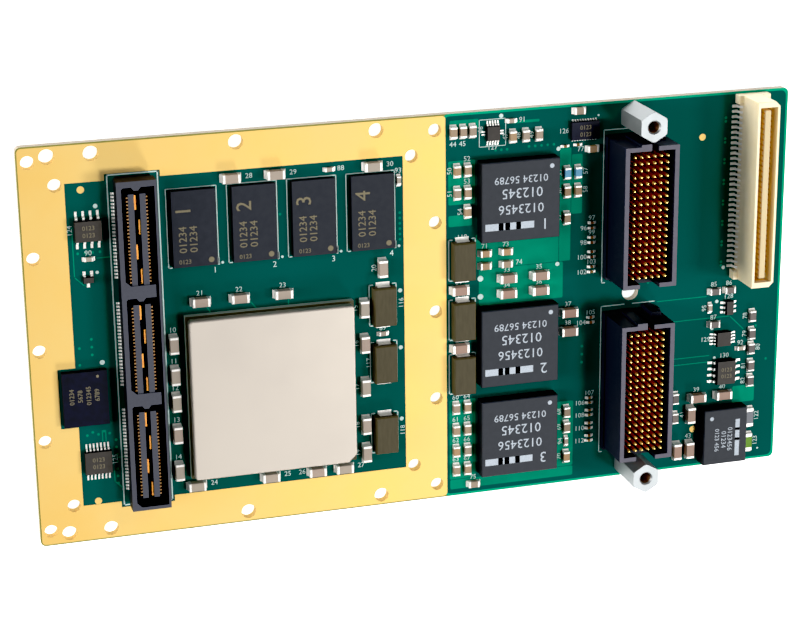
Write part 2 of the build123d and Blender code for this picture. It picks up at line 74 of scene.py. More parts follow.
def add_node(tree, kind, inputs=None, **settings):
    """Adds a node with its settings, and fills its inputs from numbers, hex colours or nodes."""
    node = tree.nodes.new("ShaderNode" + kind)
    for name, value in settings.items():
        setattr(node, name, value)
    sockets = [socket for socket in node.inputs if socket.enabled]
    for key, value in (inputs or {}).items():
        socket = sockets[key] if isinstance(key, int) else next(s for s in sockets if s.name == key)
        if isinstance(value, bpy.types.Node):
            value = next(output for output in value.outputs if output.enabled)
        if isinstance(value, bpy.types.NodeSocket):
            tree.links.new(value, socket)
        else:
            socket.default_value = linear(value) if isinstance(value, str) else value
    return node


def new_finish(name):
    """An empty material, the call that adds its nodes, and the piece's own coordinates."""
    finish = bpy.data.materials.new(name)
    finish.use_nodes = True
    finish.node_tree.nodes.clear()
    add = partial(add_node, finish.node_tree)
    return finish, add, add("TexCoord").outputs["Object"]


def finished(finish, inputs):
    """Ends a material with its shader."""
    shader = add_node(finish.node_tree, "BsdfPrincipled", inputs)
    add_node(finish.node_tree, "OutputMaterial", {"Surface": shader})
    return finish


def two_shades(add, place, dark, light, patch, detail=2.0):
    """Soft patches of one size: the pattern, and the colour that it gives of two shades."""
    flow = add("TexNoise", {"Vector": place, "Scale": 1 / patch, "Detail": detail})
    return flow, add("Mix", {"Factor": flow, "A": dark, "B": light}, data_type="RGBA")


def coat(node, finish):
    """Gives a CAD node its finish."""
    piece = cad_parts[node]
    piece.data.materials.clear()
    piece.data.materials.append(finish)
    return piece


def facing_up(add, normal="Normal"):
    """How far the surface faces up, from 1 on top to -1 underneath."""
    return add("SeparateXYZ", {0: add("NewGeometry").outputs[normal]}).outputs["Z"]


def printed_solder_mask():
    """Smooth green mask, cloudy over the copper planes, with the glass cloth as a faint rib."""
    finish, add, place = new_finish("printed_solder_mask")
    _, mask = two_shades(add, place, MASK_DARK, MASK_LIGHT, MASK_CLOUD)
    layers = add("TexWave", {"Vector": place, "Scale": ONE_WAVE / LAMINATE_LAYER}, bands_direction="Z")
    edge = add("Mix", {"Factor": layers, "A": LAMINATE_STRAW, "B": LAMINATE_SHADE}, data_type="RGBA")
    level = add("Math", {0: facing_up(add, "True Normal")}, operation="ABSOLUTE")
    on_face = add("Math", {0: level, 1: 0.5}, operation="GREATER_THAN")
    colour = add("Mix", {"Factor": on_face, "A": edge, "B": mask}, data_type="RGBA")
    warp, weft = [
        add("TexWave", {"Vector": place, "Scale": ONE_WAVE / GLASS_WEAVE}, bands_direction=way)
        for way in ("X", "Y")
    ]
    cloth = add("Math", {0: warp, 1: weft}, operation="MULTIPLY")
    ribs = add("Bump", {"Height": cloth, "Distance": RIB_HEIGHT, "Strength": 0.2})
    return finished(
        finish, {"Base Color": colour, "Roughness": 0.55, "Specular IOR Level": 0.015, "Normal": ribs}
    )


coat("circuit_board", printed_solder_mask())


# Copper under the mask: where a power plane, a trace or a via lies in the outer copper
# layer, the mask over it stands a hair proud and looks a brighter green. The routed margin
# has no copper in any layer, and lets light through the bare glass and resin.
POUR_THICKNESS = 0.02
POUR_CORNER = 0.3
TRACE_WIDTH = 0.18
VIA_DIAMETER = 0.5
VIA_HEIGHT = 0.024
POUR_DARK = "#00755a"
POUR_LIGHT = "#008a6a"
MARGIN_WIDTH = 0.45
CARD_CORNER = 1.0
CARD_LENGTH = (board_high.x - board_low.x) / MM
CARD_WIDTH = (board_high.y - board_low.y) / MM
FRAME_END = (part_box("thermal_frame")[1].x - board_low.x) / MM


def on_card(x, y, height=0.0):
    """A place in millimetres from the card's lower front corner and above its face."""
    return (board_low.x + x * MM, board_low.y + y * MM, FACE + height * MM)


def skin(rings, closed=False):
    """A solid wrapped over rings of as many points, its ends capped or joined together."""
    count = len(rings[0])
    corners = [point for ring in rings for point in ring]
    faces = []
    for level in range(len(rings) if closed else len(rings) - 1):
        lower, upper = level * count, (level + 1) % len(rings) * count
        for i in range(count):
            j = (i + 1) % count
            faces.append([lower + i, lower + j, upper + j, upper + i])
    if not closed:
        faces.append(list(range(count))[::-1])
        faces.append([len(corners) - count + i for i in range(count)])
    return corners, faces


def circle(x, y, diameter, count=24):
    turns = [2 * math.pi * i / count for i in range(count)]
    return [(x + diameter / 2 * math.cos(t), y + diameter / 2 * math.sin(t)) for t in turns]


def rounded_rectangle(low, high, radius):
    """The outline between two corners, with an arc of six steps at each corner."""
    outline = []
    corners = ((high[0], low[1]), high, (low[0], high[1]), low)
    for quarter, (x, y) in enumerate(corners):
        cx = x - radius if x == high[0] else x + radius
        cy = y - radius if y == high[1] else y + radius
        for step in range(7):
            turn = math.radians(-90 + 90 * quarter + 15 * step)
            outline.append((cx + radius * math.cos(turn), cy + radius * math.sin(turn)))
    return outline


def raised(levels):
    """A solid from outlines at rising heights above the card's face."""
    return skin([[on_card(x, y, height) for x, y in outline] for outline, height in levels])


def slab(outline, low, high):
    return raised(((outline, low), (outline, high)))


def hoop(outer, inner, low, high):
    """A flat ring between two outlines of as many points."""
    rings = ((outer, low), (outer, high), (inner, high), (inner, low))
    return skin([[on_card(x, y, z) for x, y in ring] for ring, z in rings], closed=True)


def stroke(points, width, low, high):
    """A line of one width through the points, as a flat bar for each stretch."""
    bars = []
    for (x1, y1), (x2, y2) in zip(points, points[1:]):
        length = math.hypot(x2 - x1, y2 - y1)
        ux, uy = (x2 - x1) / length * width / 2, (y2 - y1) / length * width / 2
        outline = [
            (x1 - ux + uy, y1 - uy - ux), (x2 + ux + uy, y2 + uy - ux),
            (x2 + ux - uy, y2 + uy + ux), (x1 - ux - uy, y1 - uy + ux),
        ]
        bars.append(slab(outline, low, high))
    return bars


def make_piece(name, solids, finish, replaces=()):
    """One mesh of many solids that rides on the card and takes the finish given to it."""
    corners, faces = [], []
    for solid_corners, solid_faces in solids:
        first = len(corners)
        corners += solid_corners
        faces += [[first + i for i in face] for face in solid_faces]
    mesh = bpy.data.meshes.new(name)
    mesh.from_pydata(corners, [], faces)
    mesh.materials.append(finish)
    piece = bpy.data.objects.new(name, mesh)
    bpy.context.scene.collection.objects.link(piece)
    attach(piece, "root")
    if replaces:
        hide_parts(*replaces)
    return piece


def flooded_mask(name, dark, light, patch=5 * MM):
    """The same mask in a brighter shade, a little uneven in its thickness."""
    finish, add, place = new_finish(name)
    _, colour = two_shades(add, place, dark, light, patch)
    return finished(finish, {"Base Color": colour, "Roughness": 0.55, "Specular IOR Level": 0.02})


pours = [
    ((77.5, 71.0), (83.0, 72.7)), ((77.2, 57.0), (82.3, 65.2)), ((77.2, 52.9), (81.7, 55.0)),
    ((89.3, 71.3), (94.6, 71.8)), ((82.4, 44.4), (98.5, 51.0)), ((98.6, 44.4), (100.8, 66.0)),
    ((100.9, 53.3), (103.0, 64.6)), ((83.0, 37.3), (99.4, 44.3)), ((77.3, 1.3), (101.8, 3.2)),
    ((77.2, 3.3), (82.3, 19.2)), ((98.4, 3.3), (101.8, 16.5)), ((134.6, 12.2), (139.2, 15.6)),
]
copper = [
    slab(rounded_rectangle(low, high, min(POUR_CORNER, (high[1] - low[1]) / 2)), 0, POUR_THICKNESS)
    for low, high in pours
]
traces = [
    [(118.5, 34.5), (128.5, 34.5)], [(121.5, 30.1), (133.5, 30.1), (136.4, 27.2)],
    [(121.5, 22.5), (129.4, 22.5)], [(121.5, 21.2), (129.2, 21.2)], [(13.0, 53.2), (15.7, 53.2)],
    [(8.9, 59.0), (8.9, 50.0), (10.6, 48.3), (11.2, 48.3)], [(14.0, 13.0), (14.0, 11.0), (15.6, 9.4)],
    [(12.2, 21.0), (12.2, 19.0)], [(12.8, 21.0), (12.8, 19.0)], [(15.9, 15.6), (14.4, 15.6)],
    [(31.9, 42.6), (32.8, 41.0)], [(39.6, 43.0), (41.5, 40.6)], [(47.0, 42.2), (47.0, 40.6)],
]
vias = [
    (9.0, 36.9), (12.7, 33.9), (8.9, 33.8), (55.7, 57.6), (45.9, 58.2), (38.4, 64.0), (116.5, 38.5),
    (139.0, 27.6), (141.4, 20.6), (133.9, 37.9), (134.8, 37.9),
]
# Each row of vias: where it starts, its step along and across the card, and how many.
VIA_ROWS = (
    (11.2, 35.5, 0, 1.45, 3), (9.5, 20.4, 2.0, 0, 3), (10.5, 20.9, 2.0, 0, 2), (14.6, 10.6, 0, 1.4, 7),
    (9.7, 54.3, 1.3, 0, 4), (68.0, 51.5, 0, 1.0, 6), (103.4, 24.0, 0, 1.6, 3), (86.2, 66.6, 1.1, 0, 3),
    (92.6, 66.8, 1.2, 0, 5), (131.3, 68.45, 0, -4.0, 8), (131.3, 69.15, 0, -4.0, 8),
)
for x, y, step_x, step_y, count in VIA_ROWS:
    vias += [(x + i * step_x, y + i * step_y) for i in range(count)]
copper += [bar for trace in traces for bar in stroke(trace, TRACE_WIDTH, 0, POUR_THICKNESS)]
copper += [slab(circle(x, y, VIA_DIAMETER, 12), 0, VIA_HEIGHT) for x, y in vias]
make_piece("masked_copper", copper, flooded_mask("mask_over_copper", POUR_DARK, POUR_LIGHT))

# Each margin: its name, where it and its opening start, its thickness, and its two shades.
MARGINS = (
    ("olive_margin", 0, MARGIN_WIDTH, POUR_THICKNESS / 2, "#8d8a3e", "#7c7d38"),
    ("green_margin", FRAME_END - 0.5, FRAME_END - 0.25, POUR_THICKNESS, "#00a078", "#00946f"),
)
for name, start, opening_start, thickness, dark, light in MARGINS:
    whole = rounded_rectangle((start, 0), (CARD_LENGTH, CARD_WIDTH), CARD_CORNER)
    opening = rounded_rectangle(
        (opening_start, MARGIN_WIDTH), (CARD_LENGTH - MARGIN_WIDTH, CARD_WIDTH - MARGIN_WIDTH),
        CARD_CORNER,
    )
    margin_mask = flooded_mask(f"mask_over_{name}", dark, light)
    make_piece(name, [hoop(whole, opening, 0, thickness)], margin_mask)


# Thermal frame: bare copper on the card's face, plated with nickel and a thin coat of gold,
# that carries the heat out to the chassis it is screwed to. Each hole through it is plated
# down its wall as well.
GOLD_LIGHT = "#e5cf8e"
GOLD_DEEP = "#dfb65b"
FRAME_INSET = (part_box("thermal_frame")[0].x - board_low.x) / MM
FRAME_THICKNESS = (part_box("thermal_frame")[1].z - FACE) / MM
BOARD_THICKNESS = (board_high.z - board_low.z) / MM
# The window in the frame, and the bays that widen it for the front connector and the flash.
WINDOW_LEFT, WINDOW_RIGHT = 8.05, FRAME_END - 8.05
WINDOW_FRONT, WINDOW_REAR = 7.0, CARD_WIDTH - 7.0
BAY_LEFT, BAY_RIGHT = 14.975, 24.725
BAY_FRONT, BAY_REAR = 5.85, CARD_WIDTH - 5.85
FLASH_LEFT, FLASH_FRONT, FLASH_REAR = 4.9, 22.15, 33.35
SMALL_HOLE = 2.5
EDGE_HOLE = 2.8
HOLE_MARGIN = 2.0
MID_HOLE_X = 5.3
HOLE_SIDES = 36
# The holes at each corner: how far in from the end, how far from the middle line, how wide.
CORNER_HOLES = (
    (HOLE_MARGIN, 34.2, SMALL_HOLE), (HOLE_MARGIN, 17.0, SMALL_HOLE), (6.4, 29.8, SMALL_HOLE),
    (12.9, 35.0, EDGE_HOLE),
)
BARREL_WALL = 0.05
LAND_WIDTH = 0.35
LAND_THICKNESS = 0.03


def grained(add, place, grain, height):
    """A fine grain as a relief, drawn coarser than a real one so that it shows as a satin."""
    grains = add("TexNoise", {"Vector": place, "Scale": 1 / grain})
    return add("Bump", {"Height": grains, "Distance": height, "Strength": 0.5})


def plated_metal(name, deep, light, rough, patch=14 * MM, crystal=0.12 * MM):
    """Electroplated metal: a soft mirror, cloudy where the bath ran, with a fine crystal grain."""
    finish, add, place = new_finish(name)
    cloud, colour = two_shades(add, place, deep, light, patch, 4.0)
    worn = add("MapRange", {"Value": cloud, "To Min": rough * 0.85, "To Max": rough * 1.15})
    satin = grained(add, place, crystal, 0.004 * MM)
    return finished(finish, {"Base Color": colour, "Metallic": 1.0, "Roughness": worn, "Normal": satin})


edges = (HOLE_MARGIN, CARD_WIDTH - HOLE_MARGIN)
holes = [(x, y, EDGE_HOLE) for x in (FRAME_END / 2, MID_HOLE_X) for y in edges]
for start, inward in ((0, 1), (FRAME_END, -1)):
    holes.append((start + inward * HOLE_MARGIN, CARD_WIDTH / 2, SMALL_HOLE))
    for side in (-1, 1):
        for reach, away, diameter in CORNER_HOLES:
            holes.append((start + inward * reach, CARD_WIDTH / 2 + side * away, diameter))


def cut_plate(name, outlines, low, high):
    """A flat plate between two heights, its outside given first and then each opening."""
    sheet = bpy.data.curves.new(name, "CURVE")
    sheet.dimensions, sheet.fill_mode = "2D", "BOTH"
    sheet.extrude = (high - low) * MM / 2
    for outline in outlines:
        spline = sheet.splines.new("POLY")
        spline.points.add(len(outline) - 1)
        spline.use_cyclic_u = True
        for point, (x, y) in zip(spline.points, outline):
            point.co = (*on_card(x, y)[:2], 0, 1)
    cutting = bpy.data.objects.new(name, sheet)
    bpy.context.scene.collection.objects.link(cutting)
    plate = bpy.data.meshes.new_from_object(cutting)
    bpy.data.objects.remove(cutting)
    lift = Vector((0, 0, FACE + (low + high) * MM / 2))
    corners = [tuple(corner.co + lift) for corner in plate.vertices]
    return corners, [list(face.vertices) for face in plate.polygons]


window = [
    (WINDOW_LEFT, WINDOW_FRONT), (BAY_LEFT, WINDOW_FRONT), (BAY_LEFT, BAY_FRONT),
    (BAY_RIGHT, BAY_FRONT), (BAY_RIGHT, WINDOW_FRONT), (WINDOW_RIGHT, WINDOW_FRONT),
    (WINDOW_RIGHT, WINDOW_REAR), (BAY_RIGHT, WINDOW_REAR), (BAY_RIGHT, BAY_REAR),
    (BAY_LEFT, BAY_REAR), (BAY_LEFT, WINDOW_REAR), (WINDOW_LEFT, WINDOW_REAR),
    (WINDOW_LEFT, FLASH_REAR), (FLASH_LEFT, FLASH_REAR), (FLASH_LEFT, FLASH_FRONT),
    (WINDOW_LEFT, FLASH_FRONT),
]
outside = rounded_rectangle(
    (FRAME_INSET, FRAME_INSET), (FRAME_END, CARD_WIDTH - FRAME_INSET), CARD_CORNER - FRAME_INSET
)
bores = [circle(x, y, diameter, HOLE_SIDES) for x, y, diameter in holes]
plate = cut_plate("thermal_frame_cutting", [outside, window] + bores, 0, FRAME_THICKNESS)
gold = plated_metal("satin_gold_plating", GOLD_DEEP, GOLD_LIGHT, 0.66)
make_piece("gold_thermal_frame", [plate], gold, ["thermal_frame"])

barrels = []
for x, y, diameter in holes:
    wall, bore, land = (
        circle(x, y, diameter + extra, HOLE_SIDES) for extra in (0, -2 * BARREL_WALL, 2 * LAND_WIDTH)
    )
    barrels.append(hoop(wall, bore, -BOARD_THICKNESS, FRAME_THICKNESS))
    barrels.append(hoop(land, bore, -BOARD_THICKNESS - LAND_THICKNESS, -BOARD_THICKNESS))
make_piece("plated_barrels", barrels, gold)

# Alignment dots: bare gold-plated copper discs that the placing machine looks for, each in
# a round opening of the mask.
DOT_DIAMETER = 1.3
DOT_THICKNESS = 0.04
dots = [(10.8, 65.7), (10.8, 7.6), (126.7, 65.8), (126.5, 7.7)]
dot_solids = [slab(circle(x, y, DOT_DIAMETER), 0, DOT_THICKNESS) for x, y in dots]
make_piece("alignment_dots", dot_solids, gold)


# Processor package: a copper lid, nickel-plated and bead-blasted, glued on a dark laminate
# substrate. The lid's edges are coined round, and one corner is cut to show the first ball.
LID_SHADE = "#b7afa4"
LID_LIGHT = "#c0b8af"
SUBSTRATE_DARK = "#35331f"
SUBSTRATE_LIGHT = "#4c4930"
ROUTED_EDGE = "#a3b3a8"
# Near black, painted on the chips' sides as the shade on them.
SIDE_SHADE_BLACK = "#17171b"
MOULD_GRAIN = 0.1 * MM
TOUCHING = 0.001 * MM


def round_edges(piece, width):
    """Rounds a piece's edges as moulding or plating does."""
    weld = piece.modifiers.new("weld", "WELD")
    weld.merge_threshold = TOUCHING
    rounding = piece.modifiers.new("rounding", "BEVEL")
    rounding.width, rounding.segments = width * MM, 3
    rounding.limit_method, rounding.angle_limit = "ANGLE", math.radians(40)
    rounding.harden_normals = True


def soften(node, width, finish):
    """Gives a CAD node its finish and rounded edges."""
    round_edges(coat(node, finish), width)


def moulded_resin(name, dark, light, rough, side=SIDE_SHADE_BLACK, patch=1.2 * MM):
    """Filled resin: a cloudy, finely grained face, and sides of another colour: a laminate's routed edge,
    or a near black painted shade on the chips.
    """
    finish, add, place = new_finish(name)
    _, face = two_shades(add, place, dark, light, patch, 5.0)
    on_top = add("MapRange", {"Value": facing_up(add), "From Min": 0.3, "From Max": 0.8})
    colour = add("Mix", {"Factor": on_top, "A": side, "B": face}, data_type="RGBA")
    return finished(finish, {
        "Base Color": colour, "Roughness": rough, "IOR": 1.5, "Specular IOR Level": 0.15,
        "Normal": grained(add, place, MOULD_GRAIN, 0.006 * MM),
    })


soften("processor_lid", 0.3, plated_metal("blasted_nickel_plating", LID_SHADE, LID_LIGHT, 0.6))
soften(
    "processor_substrate", 0.05,
    moulded_resin("pressed_laminate", SUBSTRATE_DARK, SUBSTRATE_LIGHT, 0.5, ROUTED_EDGE),
)


# Memory, module, flash and small chips: silicon moulded into filled epoxy, which leaves the
# mould with a fine matt grain. The large modules hold more silica and are a lighter grey.
memory_epoxy = moulded_resin("moulded_memory_epoxy", "#222429", "#2b2d33", 0.6)
module_epoxy = moulded_resin("moulded_module_epoxy", "#2c2f34", "#35383e", 0.6)
chip_epoxy = moulded_resin("moulded_chip_epoxy", "#2f2c29", "#413d39", 0.55)
flash_epoxy = moulded_resin("moulded_flash_epoxy", "#0a0c14", "#15182a", 0.5)
SMALL_CHIPS = (
    "eight_lead_chip_front", "transistor", "fourteen_lead_chip", "regulator", "six_lead_chip",
    "eight_lead_small_chip", "eight_lead_chip_rear",
)
for index in (1, 2, 3, "small"):
    soften(f"power_module_{index}", 0.05, module_epoxy)
soften("flash_chip", 0.05, flash_epoxy)
soften("twenty_lead_chip", 0.03, flash_epoxy)
for node in SMALL_CHIPS:
    soften(node, 0.03, chip_epoxy)

# Each memory chip is a block of filled epoxy, moulded over its die and sawn to size. It is
# eight millimetres wide, and a strip of mask shows between it and its outline.
MEMORY_BODY = 8.0
MEMORY_SHIFT = 0.15
MEMORY_EDGE = 0.06


def place_and_size(low, high):
    """The middle of a box from the card's corner and its size, in millimetres."""
    middle = (low + high) / 2 - board_low
    return middle.x / MM, middle.y / MM, (high - low) / MM


def middle_and_size(node):
    return place_and_size(*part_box(node))


def rectangle(x, y, length, width):
    """The outline about a middle, from its lower front corner."""
    return [
        (x - length / 2, y - width / 2), (x + length / 2, y - width / 2),
        (x + length / 2, y + width / 2), (x - length / 2, y + width / 2),
    ]


for index in (1, 2, 3, 4):
    node = f"memory_chip_{index}"
    x, y, size = middle_and_size(node)
    body = slab(rectangle(x + MEMORY_SHIFT, y, MEMORY_BODY, size.y), 0, size.z)
    round_edges(make_piece(f"{node}_body", [body], memory_epoxy, [node]), MEMORY_EDGE)


# Leads of the small chips: copper alloy strip, bent down from the body and out to a foot on
# its solder pad, and dipped in tin. The solder climbs a little at each foot.
TIN_GREY = "#dedad2"
TIN_LIGHT = "#fffdf8"
TIN_PATCH = 0.4 * MM
PAD_THICKNESS = 0.04
PAD_REACH = 0.35


def dipped_tin():
    """Tin and solder: bright metal that froze a little uneven, and scatters most light."""
    finish, add, place = new_finish("dipped_tin")
    flow, colour = two_shades(add, place, TIN_GREY, TIN_LIGHT, TIN_PATCH)
    frozen = add("Bump", {"Height": flow, "Distance": 0.03 * MM, "Strength": 0.4})
    return finished(finish, {"Base Color": colour, "Metallic": 0.25, "Roughness": 0.4, "Normal": frozen})


def strip(x, y, dx, dy, width, path):
    """A strip from (x, y) towards (dx, dy), with a reach, an underside and a top at each step."""
    rings = []
    for reach, under, top in path:
        ring = []
        for side, z in ((-1, under), (1, under), (1, top), (-1, top)):
            across = side * width / 2
            ring.append(on_card(x + dx * reach - dy * across, y + dy * reach + dx * across, z))
        rings.append(ring)
    return skin(rings)


def bent_lead(x, y, dx, dy, path, width, thickness):
    """A lead of one thickness, along a path of reaches and heights of its upper face."""
    return strip(x, y, dx, dy, width, [(reach, top - thickness, top) for reach, top in path])


def solder_pad(x, y, length, width):
    return slab(rectangle(x, y, length, width), 0, PAD_THICKNESS)


# Each row of leads: its node, leads a side, pitch, lead width, span over the feet, and
# whether the rows lie along the card. A lead runs level out of its body, turns down, and
# ends level on a pad that reaches a little past it.
STRIP = 0.15
LEAD_ROOT = 0.15
PAD_MARGIN = 0.03
LEAD_ROWS = (
    ("eight_lead_chip_front", 4, 1.27, 0.42, 6.4, True),
    ("fourteen_lead_chip", 7, 0.65, 0.28, 6.6, True),
    ("twenty_lead_chip", 10, 0.5, 0.2, 3.9, True),
    ("regulator", 5, 0.5, 0.24, 4.2, True),
    ("six_lead_chip", 3, 0.95, 0.42, 2.9, False),
    ("eight_lead_small_chip", 4, 0.65, 0.3, 4.9, False),
    ("eight_lead_chip_rear", 4, 1.27, 0.45, 6.4, False),
)
lead_solids, pad_solids = [], []
for node, count, pitch, width, span, along in LEAD_ROWS:
    x, y, size = middle_and_size(node)
    body = size.y if along else size.x
    reach = (span - body) / 2
    path = ((-LEAD_ROOT, size.z / 2), (0.3 * reach, size.z / 2), (0.5 * reach, STRIP), (reach, STRIP))
    for index in range(count):
        offset = (index - (count - 1) / 2) * pitch
        for side in (-1, 1):
            dx, dy = (0, side) if along else (side, 0)
            start_x = x + (offset if along else side * body / 2)
            start_y = y + (side * body / 2 if along else offset)
            lead_solids.append(bent_lead(start_x, start_y, dx, dy, path, width, STRIP))
            foot_x, foot_y = start_x + dx * reach * 0.8, start_y + dy * reach * 0.8
            pad = (width + PAD_MARGIN, 0.4 * reach + min(PAD_REACH, reach))
            pad_solids.append(solder_pad(foot_x, foot_y, *(pad if along else pad[::-1])))

# The transistor has two leads on one side and one on the other. The regulator has two more
# pads beyond each of its ends.
TRANSISTOR_LEADS = ((-0.65, 1), (0.65, 1), (0, -1))
TRANSISTOR_PATH = ((-LEAD_ROOT, 0.5), (0.15, 0.5), (0.25, STRIP), (0.6, STRIP))
TRANSISTOR_WIDTH = 0.4
TRANSISTOR_PAD = (0.55, 0.8)
TRANSISTOR_PAD_PLACE = 0.45
END_PAD = (0.7, 0.26)
END_PAD_PLACES = ((-1.75, -0.25), (-1.75, 0.25), (1.75, -0.25), (1.75, 0.25))
x, y, size = middle_and_size("transistor")
for offset, side in TRANSISTOR_LEADS:
    end = y + side * size.y / 2
    lead_solids.append(bent_lead(x + offset, end, 0, side, TRANSISTOR_PATH, TRANSISTOR_WIDTH, STRIP))
    pad_solids.append(solder_pad(x + offset, end + side * TRANSISTOR_PAD_PLACE, *TRANSISTOR_PAD))
regulator_x, regulator_y, _ = middle_and_size("regulator")
for dx, dy in END_PAD_PLACES:
    pad_solids.append(solder_pad(regulator_x + dx, regulator_y + dy, *END_PAD))
tin = dipped_tin()
make_piece("chip_leads", lead_solids, tin)
make_piece("chip_pads", pad_solids, tin)


# Chip capacitors and resistors: fired ceramic blocks whose ends are dipped in silver and
# tinned, then soldered to two pads. The paste melts into a small slope up each end.
BODY_SHRINK = 0.02
LARGE_END = 0.5
MEDIUM_END = 0.42
SMALL_END = 0.36
BODY_EDGE = 0.05
END_EDGE = 0.08
# How much of an end's width and height the solder covers.
SOLDER_SPREAD = 0.96
SOLDER_CLIMB = 0.55


def solids_in(node):
    """The middle and size of each separate solid of a CAD node, in millimetres."""
    mesh = bmesh.new()
    mesh.from_mesh(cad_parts[node].data)
    bmesh.ops.remove_doubles(mesh, verts=mesh.verts, dist=TOUCHING)
    solids, seen = [], set()
    for start in mesh.verts:
        if start in seen:
            continue
        seen.add(start)
        waiting, group = [start], []
        while waiting:
            corner = waiting.pop()
            group.append(corner.co.copy())
            for edge in corner.link_edges:
                other = edge.other_vert(corner)
                if other not in seen:
                    seen.add(other)
                    waiting.append(other)
        low = Vector([min(point[axis] for point in group) for axis in range(3)])
        high = Vector([max(point[axis] for point in group) for axis in range(3)])
        solids.append(place_and_size(low, high))
    mesh.free()
    return solids


def fired_ceramic(name, warm, cool, pits=0.3 * MM):
    """Fired ceramic: dry with a slight gloss, each chip a shade warmer or cooler than the next."""
    finish, add, place = new_finish(name)
    each = add("NewGeometry").outputs["Random Per Island"]
    batch = add("Mix", {"Factor": each, "A": warm, "B": cool}, data_type="RGBA")
    grain, colour = two_shades(add, place, batch, cool, pits, 3.0)
    dry = add("Bump", {"Height": grain, "Distance": 0.01 * MM, "Strength": 0.3})
    return finished(finish, {
        "Base Color": colour, "Roughness": 0.5, "IOR": 1.6, "Specular IOR Level": 0.1, "Normal": dry,
    })


def rounded_block(x, y, length, width, low, high, edge):
    """A block whose upper edges are worn round."""
    full, inner = rectangle(x, y, length, width), rectangle(x, y, length - 2 * edge, width - 2 * edge)
    return raised(((full, low), (full, high - edge), (inner, high)))


def solder_slope(x, y, dx, dy, width, reach, height):
    """Solder that climbs from its pad's outer end up the end of a chip."""
    steps = ((-0.05, height), (0.35 * reach, height * 0.45), (reach, 2 * PAD_THICKNESS))
    return strip(x, y, dx, dy, width, [(run, 0, top) for run, top in steps])


def dress_chip(x, y, size, end_length, bodies, ends):
    """Adds one chip's body, and its tinned ends with the solder that climbs them."""
    along = size.x > size.y
    length, width, height = max(size.x, size.y), min(size.x, size.y), size.z
    body = (length - end_length, width - 2 * BODY_SHRINK)
    body = body if along else body[::-1]
    bodies.append(rounded_block(x, y, *body, BODY_SHRINK, height - BODY_SHRINK, BODY_EDGE))
    end = (end_length, width) if along else (width, end_length)
    for side in (-1, 1):
        dx, dy = (side, 0) if along else (0, side)
        shift = (length - end_length) / 2
        ends.append(rounded_block(x + dx * shift, y + dy * shift, *end, 0, height, END_EDGE))
        tip_x, tip_y = x + dx * length / 2, y + dy * length / 2
        spread, climb = width * SOLDER_SPREAD, height * SOLDER_CLIMB
        ends.append(solder_slope(tip_x, tip_y, dx, dy, spread, PAD_REACH, climb))


beige_ceramic = fired_ceramic("fired_beige_ceramic", "#a28376", "#a39a8c")
pink_ceramic = fired_ceramic("fired_pink_ceramic", "#a57b6b", "#988071")
amber_ceramic = fired_ceramic("fired_amber_ceramic", "#b07f36", "#948676")
grey_ceramic = fired_ceramic("fired_grey_ceramic", "#877a72", "#5f5a58")
CHIP_GROUPS = {
    "processor_capacitors": (LARGE_END, beige_ceramic), "module_capacitors": (LARGE_END, pink_ceramic),
    "rear_capacitors": (LARGE_END, pink_ceramic), "module_chips": (MEDIUM_END, amber_ceramic),
    "rear_chips": (SMALL_END, grey_ceramic), "small_chips": (SMALL_END, beige_ceramic),
}
# Two chips of the rear field have a blue glaze: the ones that lie near these places.
BLUE_CHIPS = ((99.9, 61.3), (102.0, 61.3))
NEAR = 0.8
blue_bodies = []
for node, (end_length, ceramic) in CHIP_GROUPS.items():
    bodies, ends = [], []
    for x, y, size in solids_in(node):
        is_blue = any(math.hypot(x - blue_x, y - blue_y) < NEAR for blue_x, blue_y in BLUE_CHIPS)
        dress_chip(x, y, size, end_length, blue_bodies if is_blue else bodies, ends)
    make_piece(f"{node}_bodies", bodies, ceramic, [node])
    make_piece(f"{node}_ends", ends, tin)
blue_glaze = fired_ceramic("fired_blue_glaze", "#5fb0dc", "#6aa6c6")
make_piece("blue_chip_bodies", blue_bodies, blue_glaze)

# Pull-up resistors: pairs of chips a millimetre long beside the rear connectors and two
# under the twenty-lead chip, with the amber glaze that seals their film.
TINY_SIZE = Vector((1.0, 0.5, 0.4))
TINY_END = 0.26
TINY_SPAN = 1.6
PAIR_STEP = 1.0
pairs = [(105.0, y) for y in (50.8, 48.0, 45.2, 42.3, 32.35, 16.25, 13.75, 11.1, 8.55)]
tiny_places = [(x, y + step * PAIR_STEP) for x, y in pairs for step in (-0.5, 0.5)]
tiny_places += [(99.5, 66.3), (102.0, 66.4)]
tiny_bodies, tiny_ends = [], []
for x, y in tiny_places:
    dress_chip(x, y, TINY_SIZE, TINY_END, tiny_bodies, tiny_ends)
amber_glaze = fired_ceramic("fired_amber_glaze", "#a87f3c", "#6d4a22")
make_piece("tiny_chip_bodies", tiny_bodies, amber_glaze)
make_piece("tiny_chip_ends", tiny_ends, tin)


# Polymer capacitors: a pressed block of tantalum powder moulded in brown-grey epoxy. Its
# two terminals are strips of tinned copper alloy, folded up the ends and under the body.
POLYMER_DARK = "#3d3727"
POLYMER_LIGHT = "#534c37"
FLOW_STREAK = 2.5 * MM
TAB_WIDTH = 2.3
TAB_THICKNESS = 0.12
TAB_HEIGHT = 1.1
TAB_EDGE = 0.03
TAB_PAD = (2.6, 1.4)
TAB_SLOPE = (0.45, 0.5)


def moulded_polymer_case():
    """Brown-grey epoxy with the faint streaks that the resin's flow leaves along the case."""
    finish, add, place = new_finish("moulded_polymer_case")
    drawn = add("Mapping", {"Vector": place, "Scale": (6.0, 1.0, 1.0)})
    _, colour = two_shades(add, drawn, POLYMER_DARK, POLYMER_LIGHT, FLOW_STREAK, 4.0)
    return finished(finish, {
        "Base Color": colour, "Roughness": 0.5, "IOR": 1.5, "Specular IOR Level": 0.1,
        "Normal": grained(add, place, MOULD_GRAIN, 0.006 * MM),
    })


